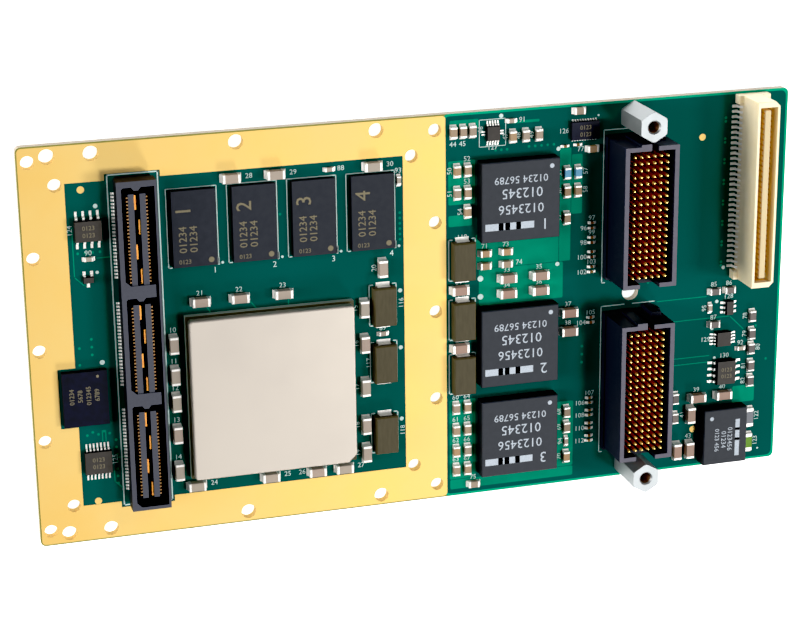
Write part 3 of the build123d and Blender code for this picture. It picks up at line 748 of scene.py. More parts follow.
polymer_case = moulded_polymer_case()
tabs = []
polymers = [f"polymer_capacitor_{index}" for index in range(1, 7)]
for node in polymers:
    soften(node, 0.06, polymer_case)
    x, y, size = middle_and_size(node)
    for side in (-1, 1):
        end = y + side * size.y / 2
        tab_y = end + side * TAB_THICKNESS / 2
        tabs.append(rounded_block(x, tab_y, TAB_WIDTH, TAB_THICKNESS, 0, TAB_HEIGHT, TAB_EDGE))
        tabs.append(solder_pad(x, end, *TAB_PAD))
        tabs.append(solder_slope(x, end + side * TAB_THICKNESS, 0, side, TAB_WIDTH, *TAB_SLOPE))
make_piece("polymer_capacitor_tabs", tabs, tin)


# Fuse and indicator: a grey ceramic chip fuse with plated ends, and a light-emitting chip
# cast in clear green resin. Both are soldered like the capacitors.
BROAD_END = 0.75


def cast_resin(name, light, deep, patch=0.5 * MM):
    """Clear tinted resin: smooth and glossy, deeper in colour where it is thicker."""
    finish, add, place = new_finish(name)
    _, colour = two_shades(add, place, light, deep, patch)
    return finished(
        finish, {"Base Color": colour, "Roughness": 0.4, "IOR": 1.5, "Specular IOR Level": 0.1}
    )


BROAD_CHIPS = {
    "fuse": (fired_ceramic("fired_fuse_ceramic", "#84878c", "#74777d"), "fuse_ceramic"),
    "indicator": (cast_resin("cast_green_resin", "#6c9c28", "#557f1c"), "indicator_lens"),
}
for node, (finish, slot) in BROAD_CHIPS.items():
    bodies, ends = [], []
    dress_chip(*middle_and_size(node), BROAD_END, bodies, ends)
    make_piece(f"{node}_body", bodies, finish, [node])
    make_piece(f"{node}_ends", ends, tin)


# Rear connectors: a shroud moulded in black glass-filled plastic round a field of square
# pins. Each pin is drawn bronze, plated with gold, and coined to a blunt point.
SHROUD_BLACK = "#1b1e29"
# A grey painted sheen on the faces that look up within a short depth of the top, in place of the lamps'
# reflection there.
SHROUD_SHEEN = "#5d5b66"
SHEEN_DEPTH = 0.5 * MM
PIN_WIDTH = 0.45
PIN_POINT_WIDTH = 0.22
PIN_POINT_LENGTH = 0.45
PIN_GOLD = "#f6d27a"
# Below their points the pins are painted red-brown, as the shade and reflections among them.
PIN_SHADE_RED = "#d05e26"
# The pins are gold down to the first depth below a pin's point, and fully the red-brown painted shade
# from the second.
FULL_LIGHT_DEPTH = 0.4 * MM
FULL_SHADE_DEPTH = 0.9 * MM


def glass_filled_plastic(name, top, black, painted_sheen, patch=0.9 * MM):
    """Plastic filled with short glass, black, with a grey painted sheen on the faces near its top that
    look up.
    """
    finish, add, place = new_finish(name)
    height = add("SeparateXYZ", {0: place}).outputs["Z"]
    near_top = add("MapRange", {
        "Value": height, "From Min": top - SHEEN_DEPTH, "From Max": top - 0.7 * SHEEN_DEPTH,
    })
    level = add("MapRange", {"Value": facing_up(add), "From Min": 0.2, "From Max": 0.7})
    # Where the painted sheen goes: faces near the top that look up.
    sheen_mask = add("Math", {0: near_top, 1: level}, operation="MULTIPLY")
    sheen_patches = add("TexNoise", {"Vector": place, "Scale": 1 / patch, "Detail": 5.0})
    mottle = add("MapRange", {"Value": sheen_patches, "To Min": 0.75, "To Max": 1.15})
    amount = add("Math", {0: sheen_mask, 1: mottle}, operation="MULTIPLY")
    colour = add("Mix", {"Factor": amount, "A": black, "B": painted_sheen}, data_type="RGBA")
    return finished(finish, {
        "Base Color": colour, "Roughness": 0.5, "IOR": 1.55, "Specular IOR Level": 0.12,
        "Normal": grained(add, place, MOULD_GRAIN, 0.008 * MM),
    })


def plated_pin_gold(tip):
    """Hard gold on bronze: gold at the points, painted red-brown lower down as the shade among the pins.
    """
    finish, add, place = new_finish("plated_pin_gold")
    height = add("SeparateXYZ", {0: place}).outputs["Z"]
    lit_share = add("MapRange", {"Value": height, "From Min": tip - FULL_SHADE_DEPTH, "From Max": tip - FULL_LIGHT_DEPTH})
    colour = add("Mix", {"Factor": lit_share, "A": PIN_SHADE_RED, "B": PIN_GOLD}, data_type="RGBA")
    return finished(finish, {"Base Color": colour, "Metallic": 0.6, "Roughness": 0.4})


shroud_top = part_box("rear_connector_upper_shroud")[1].z
shroud_plastic = glass_filled_plastic("glass_filled_shroud", shroud_top, SHROUD_BLACK, SHROUD_SHEEN)
pin_gold = plated_pin_gold(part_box("rear_connector_upper_pins")[1].z)
for side in ("upper", "lower"):
    soften(f"rear_connector_{side}_shroud", 0.08, shroud_plastic)
    pin_node = f"rear_connector_{side}_pins"
    foot, tip = ((corner.z - FACE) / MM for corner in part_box(pin_node))
    pins = []
    for x, y, _ in solids_in(pin_node):
        shank, point = (rectangle(x, y, width, width) for width in (PIN_WIDTH, PIN_POINT_WIDTH))
        pins.append(raised(((shank, foot), (shank, tip - PIN_POINT_LENGTH), (point, tip))))
    make_piece(f"rear_connector_{side}_gold_pins", pins, pin_gold, [pin_node])


# Side connector: a housing of cream nylon, with 64 contacts along its tongue and inner
# walls. Their tails come out under the long sides and bend to the board.
CREAM_LIGHT = "#f8e8c6"
CREAM_SHADE = "#ecd9b0"
# A tan painted shade over everything inside the cavity, which shows most on the tongue's top.
TONGUE_SHADE_TAN = "#cbb685"
# How deep under the rim the painted shade, brown and then amber with the gold contacts' painted
# reflection, starts and is full. The walls keep their cream deeper than the tongue between them does.
SLOT_PAINTED_SHADES = (("#f8dcb8", 0.1, 0.8), ("#ffd45a", 0.8, 1.7))
PALE_WALL_DEPTH = 1.9
TONGUE_REACH = 1.0
FACE_MARGIN = 0.02
CONTACT_PITCH = 1.0
CONTACT_COUNT = 32
CONTACT_WIDTH = 0.3
CONTACT_THICKNESS = 0.06
CONTACT_EDGE = 0.02
BODY_WIDTH = 4.4
TONGUE_WIDTH = 1.1
INNER_WALL = 1.7
END_WALL = 1.1
CAVITY_FLOOR = 2.6
LEAD_WIDTH = 0.42
LEAD_REACH = 1.3
LEAD_STRIP = 0.2
LEAD_PAD = (1.1, 0.54)
LEAD_PAD_PLACE = 0.95
LEAD_SLOPE = (0.25, 0.15)
TONGUE_CONTACT_DROP = 0.75
WALL_CONTACT_DROP = 2.3
BEND_PATH = (
    (-0.15, 1.55), (0.05, 1.5), (0.62 * LEAD_REACH, 1.3 * LEAD_STRIP), (LEAD_REACH, LEAD_STRIP)
)
side_x, side_y, side_size = middle_and_size("side_connector_housing")
SIDE_TOP = (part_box("side_connector_housing")[1].z - FACE) / MM


def moulded_cream_nylon():
    """Undyed nylon, cream and waxy, with painted shade deep in the slots, brown and then amber with the
    contacts' painted reflection, and a tan painted shade on the tongue.
    """
    finish, add, place = new_finish("moulded_cream_nylon")
    parts = add("SeparateXYZ", {0: place}).outputs
    middle = board_low + Vector((side_x, side_y, 0)) * MM
    away, within = [], []
    for axis, centre, reach in (("X", middle.x, INNER_WALL), ("Y", middle.y, side_size.y / 2 - END_WALL)):
        offset = add("Math", {0: parts[axis], 1: centre}, operation="SUBTRACT")
        away.append(add("Math", {0: offset}, operation="ABSOLUTE"))
        within.append(add("Math", {0: away[-1], 1: (reach + FACE_MARGIN) * MM}, operation="LESS_THAN"))
    inside = add("Math", {0: within[0], 1: within[1]}, operation="MULTIPLY")
    sideways = add("Math", {0: facing_up(add), 1: 0.5}, operation="LESS_THAN")
    wall = add("Math", {0: inside, 1: sideways}, operation="MULTIPLY")
    past_tongue = add("Math", {0: away[0], 1: TONGUE_REACH * MM}, operation="GREATER_THAN")
    height = add(
        "Math", {0: past_tongue, 1: PALE_WALL_DEPTH * MM, 2: parts["Z"]}, operation="MULTIPLY_ADD"
    )
    flow, pale = two_shades(add, place, CREAM_SHADE, CREAM_LIGHT, 3 * MM)
    # Inside the cavity the cream gives way to tan painted shade, and deeper on the walls to the brown and
    # amber painted shade.
    colour = add("Mix", {"Factor": inside, "A": pale, "B": TONGUE_SHADE_TAN}, data_type="RGBA")
    rim = FACE + SIDE_TOP * MM
    for shade, start, full in SLOT_PAINTED_SHADES:
        reach = {"From Min": rim - start * MM, "From Max": rim - full * MM}
        depth = add("MapRange", {"Value": height, **reach})
        amount = add("Math", {0: wall, 1: depth}, operation="MULTIPLY")
        colour = add("Mix", {"Factor": amount, "A": colour, "B": shade}, data_type="RGBA")
    waxy = add("Bump", {"Height": flow, "Distance": 0.02 * MM, "Strength": 0.3})
    return finished(finish, {
        "Base Color": colour, "Roughness": 0.4, "IOR": 1.53, "Specular IOR Level": 0.3, "Normal": waxy,
        "Subsurface Weight": 0.25, "Subsurface Radius": (1.0, 0.8, 0.5), "Subsurface Scale": 2.0 * MM,
    })


soften("side_connector_housing", 0.1, moulded_cream_nylon())
amber_gold = plated_metal("thin_contact_gold", "#e0a23a", "#ffd478", 0.5, patch=1.5 * MM)
contacts, bends, pads = [], [], []
for index in range(CONTACT_COUNT):
    y = side_y + (index - (CONTACT_COUNT - 1) / 2) * CONTACT_PITCH
    for side in (-1, 1):
        on_tongue = side_x + side * (TONGUE_WIDTH + CONTACT_THICKNESS) / 2
        on_wall = side_x + side * (INNER_WALL - CONTACT_THICKNESS / 2)
        for x, drop in ((on_tongue, TONGUE_CONTACT_DROP), (on_wall, WALL_CONTACT_DROP)):
            contacts.append(rounded_block(
                x, y, CONTACT_THICKNESS, CONTACT_WIDTH, CAVITY_FLOOR, SIDE_TOP - drop, CONTACT_EDGE
            ))
        wall = side_x + side * BODY_WIDTH / 2
        bends.append(bent_lead(wall, y, side, 0, BEND_PATH, LEAD_WIDTH, LEAD_STRIP))
        pads.append(solder_pad(wall + side * LEAD_PAD_PLACE, y, *LEAD_PAD))
        pads.append(solder_slope(wall + side * LEAD_REACH, y, side, 0, LEAD_WIDTH, *LEAD_SLOPE))
make_piece("side_connector_contacts", contacts, amber_gold)
make_piece("side_connector_bent_leads", bends, tin, ["side_connector_leads"])
make_piece("side_connector_pads", pads, tin)


# Front connector: a slate-coloured liquid-crystal-polymer housing in three banks. Fine
# bronze contacts line both sides of each bank's island, plated blades stand in its slot, and
# a row of tails is soldered down each side.
SLATE_BLACK = "#0e0d12"
# The slate housing gets the same grey painted sheen near its top.
SLATE_SHEEN = "#464852"
BLADE_COPPER = "#c8793a"
BLADE_GOLD = "#f2b055"
TAIL_PITCH = 0.635
TAILS_PER_BANK = 25
BANK_PITCH = 20.0
TAIL_WIDTH = 0.36
TAIL_REACH = 0.75
TAIL_STRIP = 0.12
TAIL_BEND = 0.45
TAIL_PATH = ((-0.2, 0.6), (0.1, 0.58), (TAIL_BEND, 0.2), (TAIL_REACH, 0.14))
TAIL_SLOPE = (0.4, 0.26)
FINE_CONTACT = (0.5, 0.34)
FINE_CONTACT_OFFSET = 0.12
FINE_CONTACT_DROP = 0.24
FINE_CONTACT_EDGE = 0.06
BASE_REACH = 3.08
ISLAND_WIDTH = 3.1
ISLAND_DROP = 0.2
ISLAND_SLOT = 1.0
BANK_LENGTH = 16.5
POCKET_FLOOR = 1.3
LEFT_RIM = 0.85
RIGHT_RIM = 0.42
REAR_BAR = 1.1
FRONT_BAR = 0.65
POCKET_HEAD = 1.2
HEAD_CUT = 0.3
CORNER_CUT = 0.9
BASE_LIP = 0.3
HOUSING_EDGE = 0.04
GROOVE_WIDTH = 0.5
TOOTH = ((0.75, 0.0), (0.3, 0.6), (-0.5, 0.6), (-0.95, 0.0))
front_x, front_y, front_size = middle_and_size("front_connector_housing")
front_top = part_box("front_connector_housing")[1].z
FRONT_HEIGHT = (front_top - FACE) / MM

left_edge, right_edge = front_x - front_size.x / 2, front_x + front_size.x / 2
front_end, rear_end = front_y - front_size.y / 2, front_y + front_size.y / 2
pocket_left, pocket_right = left_edge + LEFT_RIM, right_edge - RIGHT_RIM
opening = [(pocket_right, front_end + FRONT_BAR), (pocket_right, rear_end - REAR_BAR)]
for bank in (1, 0, -1):
    head = front_y + bank * BANK_PITCH + BANK_LENGTH / 2 + POCKET_HEAD
    foot = front_y + bank * BANK_PITCH - BANK_LENGTH / 2 if bank > -1 else front_end + FRONT_BAR
    if bank < 1:
        opening.append((pocket_right - GROOVE_WIDTH, head))
    opening += [(front_x + across, head - drop) for across, drop in TOOTH]
    opening += [(pocket_left + HEAD_CUT, head), (pocket_left, head - HEAD_CUT)]
    opening += [(pocket_left, foot + CORNER_CUT), (pocket_left + CORNER_CUT, foot)]
    if bank > -1:
        opening.append((pocket_right - GROOVE_WIDTH, foot))
outer = rectangle(front_x, front_y, front_size.x, front_size.y)
housing = [
    slab(rectangle(front_x, front_y, 2 * BASE_REACH, front_size.y), 0, POCKET_FLOOR),
    slab(outer, POCKET_FLOOR - BASE_LIP, POCKET_FLOOR),
    cut_plate("front_connector_walls", [outer, opening], POCKET_FLOOR, FRONT_HEIGHT),
]
rail = (ISLAND_WIDTH - ISLAND_SLOT) / 2
for bank in (-1, 0, 1):
    for side in (-1, 1):
        rail_x = front_x + side * (ISLAND_SLOT + rail) / 2
        rail_outline = rectangle(rail_x, front_y + bank * BANK_PITCH, rail, BANK_LENGTH)
        housing.append(slab(rail_outline, POCKET_FLOOR, FRONT_HEIGHT - ISLAND_DROP))
slate = glass_filled_plastic("moulded_slate_polymer", front_top, SLATE_BLACK, SLATE_SHEEN, 0.35 * MM)
body = make_piece(
    "front_connector_body", housing, slate, ["front_connector_housing"]
)
round_edges(body, HOUSING_EDGE)
blade_gold = plated_metal("rolled_blade_gold", BLADE_COPPER, BLADE_GOLD, 0.45, patch=1.5 * MM)
coat("front_connector_blades", blade_gold)
fine_contacts, tails, tail_solder = [], [], []
contact_top = FRONT_HEIGHT - FINE_CONTACT_DROP
for bank in (-1, 0, 1):
    for index in range(TAILS_PER_BANK):
        y = front_y + bank * BANK_PITCH + (index - (TAILS_PER_BANK - 1) / 2) * TAIL_PITCH
        for side in (-1, 1):
            on_island = front_x + side * (ISLAND_WIDTH / 2 + FINE_CONTACT_OFFSET)
            fine_contacts.append(rounded_block(
                on_island, y, *FINE_CONTACT, POCKET_FLOOR, contact_top, FINE_CONTACT_EDGE
            ))
            tail_x = front_x + side * BASE_REACH
            tails.append(bent_lead(tail_x, y, side, 0, TAIL_PATH, TAIL_WIDTH, TAIL_STRIP))
            bend_x = tail_x + side * TAIL_BEND
            tail_solder.append(solder_slope(bend_x, y, side, 0, TAIL_WIDTH, *TAIL_SLOPE))
bronze = plated_metal("drawn_contact_bronze", "#7d5b3a", "#b08a60", 0.4, patch=0.6 * MM)
make_piece("front_connector_contacts", fine_contacts, bronze)
make_piece("front_connector_tails", tails, tin)
make_piece("front_connector_solder", tail_solder, tin)


# Standoffs: hexagon bar turned to length, with a light chamfer on each end that trims the
# corners, tapped down the middle, and plated bright. The screws under the card that hold
# them have low round heads with a cross recess.
STANDOFF_FLATS = 5.0
ROUND_SIDES = 48
END_TRIM = 0.15
END_DIAMETER = 5.5
TAP_DIAMETER = 2.1
MOUTH_DIAMETER = 2.6
MOUTH_DEPTH = 0.3
TAP_DEPTH = 5.2
THREAD_PITCH = 0.45 * MM
THREAD_DEPTH = 0.15 * MM
HEAD_HEIGHT = 1.7
HEAD_DIAMETER = 4.7
RECESS_ARM = 0.35
RECESS_REACH = 1.15
# The recess narrows to these shares of its arm and reach, at this share of the head's height.
RECESS_TAPER = (0.7, 0.6)
RECESS_FLOOR = 0.3
# The dome, from its crown to the card: shares of its height, and how much the crown narrows.
DOME_LEVELS = (1.0, 0.93, 0.8, 0.6, 0.35, 0.0)
CROWN_TAPER = 0.42


def threaded_bore():
    """The wall of a tapped hole, with its thread as fine ribs, painted dark in the grooves as shade and
    light on the crests as light.
    """
    finish, add, place = new_finish("tapped_wall")
    ribs = add("TexWave", {"Vector": place, "Scale": ONE_WAVE / THREAD_PITCH}, bands_direction="Z")
    # The thread is painted dark brown in its grooves as shade and light tan on its crests as light.
    colour = add("Mix", {"Factor": ribs, "A": "#4a3020", "B": "#c8a484"}, data_type="RGBA")
    grooves = add("Bump", {"Height": ribs, "Distance": THREAD_DEPTH})
    return finished(finish, {"Base Color": colour, "Metallic": 1.0, "Roughness": 0.45, "Normal": grooves})


def hexagon(x, y, across_flats, trimmed_to=100.0, count=ROUND_SIDES):
    """A hexagon with flats facing along X, its corners trimmed to a circle's diameter."""
    outline = []
    for step in range(count):
        turn = 2 * math.pi * step / count
        from_flat = (turn + math.pi / 6) % (math.pi / 3) - math.pi / 6
        radius = min(across_flats / 2 / math.cos(from_flat), trimmed_to / 2)
        outline.append((x + radius * math.cos(turn), y + radius * math.sin(turn)))
    return outline


def cross(x, y, arm, reach, count=ROUND_SIDES):
    """A plus shape with as many points as a circle, for a cross recess."""
    outline = []
    for step in range(count):
        turn = 2 * math.pi * step / count
        sine = min(abs(math.sin(turn)), abs(math.cos(turn)))
        radius = reach if sine * reach < arm else arm / sine
        outline.append((x + radius * math.cos(turn), y + radius * math.sin(turn)))
    return outline


nickel = plated_metal("bright_nickel_plating", "#989c9e", "#a8acac", 0.55, patch=3 * MM)
tapped_wall = threaded_bore()
for side in ("upper", "lower"):
    node = f"standoff_{side}"
    x, y, size = middle_and_size(node)
    bar = hexagon(x, y, STANDOFF_FLATS)
    end = hexagon(x, y, STANDOFF_FLATS, END_DIAMETER)
    mouth, bore = (circle(x, y, width, ROUND_SIDES) for width in (MOUTH_DIAMETER, TAP_DIAMETER))
    corners, faces = raised((
        (end, 0), (bar, END_TRIM), (bar, size.z - END_TRIM), (end, size.z), (mouth, size.z),
        (bore, size.z - MOUTH_DEPTH),
    ))
    make_piece(f"{node}_bar", [(corners, faces[:-1])], nickel, [node])
    corners, faces = raised(((bore, size.z - MOUTH_DEPTH), (bore, size.z - TAP_DEPTH)))
    make_piece(f"{node}_thread", [(corners, faces[:-2] + faces[-1:])], tapped_wall)

under = -BOARD_THICKNESS
heads = []
for x, y, _ in solids_in("standoff_screws"):
    floor_arm, floor_reach = RECESS_ARM * RECESS_TAPER[0], RECESS_REACH * RECESS_TAPER[1]
    levels = [
        (cross(x, y, floor_arm, floor_reach), under - HEAD_HEIGHT * RECESS_FLOOR),
        (cross(x, y, RECESS_ARM, RECESS_REACH), under - HEAD_HEIGHT),
    ]
    for share in DOME_LEVELS:
        diameter = HEAD_DIAMETER * (1 - CROWN_TAPER * share ** 3)
        levels.append((circle(x, y, diameter, ROUND_SIDES), under - HEAD_HEIGHT * share))
    heads.append(raised(levels))
zinc = plated_metal("zinc_plated_steel", "#a9adb0", "#c9ccce", 0.4, patch=2 * MM)
make_piece("standoff_screw_heads", heads, zinc, ["standoff_screws"])


# Legend: white epoxy ink screened on the mask. It outlines the large parts, marks each first
# pin with a dot, and numbers the parts in plain figures.
INK_WHITE = "#d3e4e0"
INK_THIN = "#a9c8c0"
INK_THICKNESS = 0.03
INK_LINE = 0.17
INK_SPECK = 0.25 * MM
SIZE_TO_FIGURE = 1.4
FIGURE_HEIGHT = 0.95
FIGURE_WIDTH = 0.62
LABEL_GAP = 0.15
OUTLINE_GAP = 0.2
OPEN_CORNER = 0.6
FRONT_BOX = (19.875, 37.05, 8.85, 61.7)
REGULATOR_BOX = (5.0, 5.0)
BOX_LINES = (0.22, 0.13)
BRACKET_GAP = 0.25
BRACKET_REACH = 0.4
BRACKET_LINE = 0.2
CORNER_BAR = (1.0, 0.35)
LABEL_CLEAR = 0.05
FRAME_CLEAR = 0.2
EDGE_CLEAR = 1.0
# A part hides the mask on its right and below it from the camera, for these shares of its
# height.
HIDDEN_RIGHT = 0.4
HIDDEN_BELOW = 0.3
FIRST_NUMBER = 10


def screened_ink(name, full, thin):
    """Matt ink that the screen's mesh leaves a little thin in specks."""
    finish, add, place = new_finish(name)
    _, colour = two_shades(add, place, full, thin, INK_SPECK, 3.0)
    return finished(finish, {"Base Color": colour, "Roughness": 0.7, "IOR": 1.5})


def ink_line(points, width=INK_LINE, level=0.0):
    return stroke(points, width, level, level + INK_THICKNESS)


def ink_box(x, y, length, width, line):
    outline = rectangle(x, y, length, width)
    return ink_line(outline + outline[:1], line)


def ink_dot(x, y, diameter, level=0.0):
    return slab(circle(x, y, diameter, 16), level, level + INK_THICKNESS)


def plain_number(value, x, y, height, turn=0, level=0.0):
    """A number in plain figures, as the corners and faces of its thin layer of ink."""
    text = bpy.data.curves.new("number", "FONT")
    text.body = str(value)
    text.size = height * MM * SIZE_TO_FIGURE
    text.align_x, text.align_y = "CENTER", "CENTER"
    text.resolution_u = 2
    holder = bpy.data.objects.new("number", text)
    bpy.context.scene.collection.objects.link(holder)
    mesh = bpy.data.meshes.new_from_object(holder)
    bpy.data.objects.remove(holder)
    sine, cosine = math.sin(math.radians(turn)), math.cos(math.radians(turn))
    ox, oy, oz = on_card(x, y, level + INK_THICKNESS)
    corners = [
        (ox + v.co.x * cosine - v.co.y * sine, oy + v.co.x * sine + v.co.y * cosine, oz)
        for v in mesh.vertices
    ]
    return corners, [list(face.vertices) for face in mesh.polygons]


# The outlines: a closed box round the front connector and the regulator, brackets beside the
# polymer capacitors, and open ones round the memory chips and the rear connectors.
legend = ink_box(*FRONT_BOX, BOX_LINES[0])
legend += ink_box(regulator_x, regulator_y, *REGULATOR_BOX, BOX_LINES[1])
occupied = []
SKIPPED = ("circuit_board", "thermal_frame", "pins", "blades", "leads", "screws")
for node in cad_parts:
    if not any(word in node for word in SKIPPED):
        occupied += [(x, y, size.x, size.y) for x, y, size in solids_in(node)]
for node, *_, span, along in LEAD_ROWS:
    x, y, size = middle_and_size(node)
    occupied.append((x, y, size.x if along else span, span if along else size.y))
occupied += [(x, y, TINY_SPAN, TINY_SIZE.y) for x, y in tiny_places]
occupied += [(x, y, DOT_DIAMETER, DOT_DIAMETER) for x, y in dots]

for index in (1, 2, 3, 4):
    x, y, size = middle_and_size(f"memory_chip_{index}")
    left, right = x - size.x / 2, x + size.x / 2
    bottom, top = y - size.y / 2 - OUTLINE_GAP, y + size.y / 2 + OUTLINE_GAP
    legend += ink_line([
        (left + OPEN_CORNER, bottom), (left, bottom), (left, top), (right, top), (right, bottom),
    ])
    legend += ink_line([(right, bottom + CORNER_BAR[0]), (right, bottom)], CORNER_BAR[1])
    legend.append(ink_dot(right + 0.7, bottom + 0.2, 0.5))
    number_x, number_y = x + 3.8, bottom - 1.1
    legend.append(plain_number(index, number_x, number_y, 1.1))
    occupied.append((number_x, number_y, 1.2, 1.2))
for node in polymers:
    x, y, size = middle_and_size(node)
    top, bottom = y + size.y / 2 + BRACKET_GAP, y - size.y / 2 - BRACKET_GAP
    for side in (-1, 1):
        line = x + side * (size.x / 2 + BRACKET_REACH)
        hook = x + side * (size.x / 2 - BRACKET_GAP)
        legend += ink_line([(hook, top), (line, top), (line, bottom), (hook, bottom)], BRACKET_LINE)
for side in ("upper", "lower"):
    low, high = ((corner - board_low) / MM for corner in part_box(f"rear_connector_{side}_shroud"))
    left, bottom, top = low.x - OUTLINE_GAP, low.y - OUTLINE_GAP, high.y + OUTLINE_GAP
    legend += ink_line([(left + OPEN_CORNER, bottom), (left, bottom), (left, top), (left + 4.6, top)])
    legend += ink_line([(left + 6.3, top), (left + 10.7, top)])
    occupied.append((left + 5.5, top, 11.5, 0.4))
    occupied.append((left, (top + bottom) / 2, 0.4, top - bottom))
pin_one_dots = [
    (13.2, 62.6, 0.8), (12.9, 50.6, 0.6), (12.9, 33.9, 0.9), (67.9, 41.8, 0.8), (67.9, 30.8, 0.8),
    (67.9, 16.8, 0.8), (83.3, 42.5, 1.1), (83.3, 39.0, 1.1), (87.25, 72.9, 0.8), (98.3, 65.9, 0.8),
    (98.3, 43.9, 0.8), (131.8, 40.0, 0.7), (130.7, 33.3, 0.7), (130.6, 21.9, 0.6), (129.9, 27.9, 0.6),
    (95.7, 41.9, 0.7), (140.4, 2.1, 0.4), (101.0, 71.0, 0.4), (106.0, 71.6, 0.4), (101.0, 67.9, 0.4),
]
for x, y, diameter in pin_one_dots:
    legend.append(ink_dot(x, y, diameter))
    occupied.append((x, y, diameter, diameter))


def is_free(x, y, length, width):
    """Whether a label there lies on open mask, clear of every part and of other labels."""
    in_window = WINDOW_LEFT < x - length / 2 and x + length / 2 < WINDOW_RIGHT
    in_window = in_window and WINDOW_FRONT < y - width / 2 and y + width / 2 < WINDOW_REAR
    beside_connector = abs(x - front_x) < front_size.x / 2 + TAIL_REACH + length / 2
    behind_frame = FRAME_END + FRAME_CLEAR < x - length / 2 and x + length / 2 < CARD_LENGTH - EDGE_CLEAR
    behind_frame = behind_frame and EDGE_CLEAR < y - width / 2 and y + width / 2 < CARD_WIDTH - EDGE_CLEAR
    if beside_connector or not (in_window or behind_frame):
        return False
    return all(
        abs(x - px) > (length + plen) / 2 + LABEL_CLEAR
        or abs(y - py) > (width + pwid) / 2 + LABEL_CLEAR
        for px, py, plen, pwid in occupied
    )


def label(number, x, y, size, left_first=False):
    """Numbers a part in the first free place: above or beside it, and turned if it is upright."""
    length = len(str(number)) * FIGURE_WIDTH * FIGURE_HEIGHT + 0.1
    upright_chip = size.y > size.x
    beside = size.x / 2 + LABEL_GAP + (FIGURE_HEIGHT if upright_chip else length) / 2
    above = size.y / 2 + LABEL_GAP + FIGURE_HEIGHT / 2
    right, below = beside + HIDDEN_RIGHT * size.z, above + HIDDEN_BELOW * size.z
    sides = [(-beside, 0, 90), (right, 0, 90), (0, above, 0), (0, -below, 0)]
    if not upright_chip:
        sides = [(0, above, 0), (right, 0, 0), (-beside, 0, 0), (0, -below, 0)]
    if left_first:
        sides = [(-beside, 0, 0)] + sides
    for dx, dy, turn in sides:
        room = (FIGURE_HEIGHT, length) if turn else (length, FIGURE_HEIGHT)
        if is_free(x + dx, y + dy, *room):
            legend.append(plain_number(number, x + dx, y + dy, FIGURE_HEIGHT, turn))
            occupied.append((x + dx, y + dy, *room))
            return


number = FIRST_NUMBER
for node in CHIP_GROUPS:
    for x, y, size in solids_in(node):
        margin = Vector((0, 2 * PAD_REACH, 0) if size.y > size.x else (2 * PAD_REACH, 0, 0))
        label(number, x, y, size + margin)
        number += 1
for x, y in tiny_places:
    label(number, x, y, Vector((TINY_SPAN, TINY_SIZE.y, TINY_SIZE.z)), left_first=True)
    number += 1
for node in polymers + ["fuse", "indicator"]:
    label(number, *middle_and_size(node))
    number += 1
for node, *_, span, along in LEAD_ROWS:
    x, y, size = middle_and_size(node)
    label(number, x, y, Vector((size.x, span, 0) if along else (span, size.y, 0)))
    number += 1
ink = screened_ink("screened_epoxy_ink", INK_WHITE, INK_THIN)
make_piece("legend", legend, ink)


# Marks on the packages: a dot at the first corner, a plain number and a few plain bars,
# stamped in white on the modules and burnt in by a laser, in tan, on the memory and flash.
MARK_WHITE = "#c4cdd6"
MARK_TAN = "#7b7154"
BAR_GAP = 0.35
module_ink = screened_ink("stamped_white_ink", MARK_WHITE, "#9aa3ad")
laser_tan = screened_ink("laser_burnt_resin", MARK_TAN, "#6b634b")


def bar_row(x, y, shares, height, length, turn, level):
    """A row of plain bars along a line, each a share of the row's length."""
    solids, start = [], -length / 2
    dx, dy = math.cos(math.radians(turn)), math.sin(math.radians(turn))
    for share in shares:
        stop = start + share * length
        ends = [(x + dx * along, y + dy * along) for along in (start, stop - BAR_GAP)]
        solids += ink_line(ends, height, level)
        start = stop
    return solids


# Each row on a module: its figures, its place from the middle, and its height.
MODULE_ROWS = (("01234 56789", 0.0, 4.1, 1.4), ("012345", 0.2, 1.6, 1.9), ("0123456", 0.0, -1.4, 1.8))
module_marks = []
for index in (1, 2, 3):
    x, y, size = middle_and_size(f"power_module_{index}")
    for value, dx, dy, height in MODULE_ROWS + ((index, 4.6, -4.6, 2.1),):
        module_marks.append(plain_number(value, x + dx, y + dy, height, 180, size.z))
    module_marks.append(ink_dot(x + 5.9, y + 6.1, 0.85, size.z))
    module_marks += bar_row(x - 2.0, y - 4.6, (0.3, 0.15, 0.25, 0.3), 1.3, 8.4, 0, size.z)
x, y, size = middle_and_size("power_module_small")
for value, dx, height in (("0123 456", -1.8, 0.9), ("01234", -0.4, 1.0), ("0123456", 0.9, 1.0)):
    module_marks.append(plain_number(value, x + dx, y - 0.6, height, 270, size.z))
module_marks.append(ink_dot(x - 2.9, y + 3.9, 0.8, size.z))
module_marks += bar_row(x + 2.5, y - 0.6, (0.25, 0.3, 0.45), 0.9, 7.0, 270, size.z)
make_piece("module_marks", module_marks, module_ink)

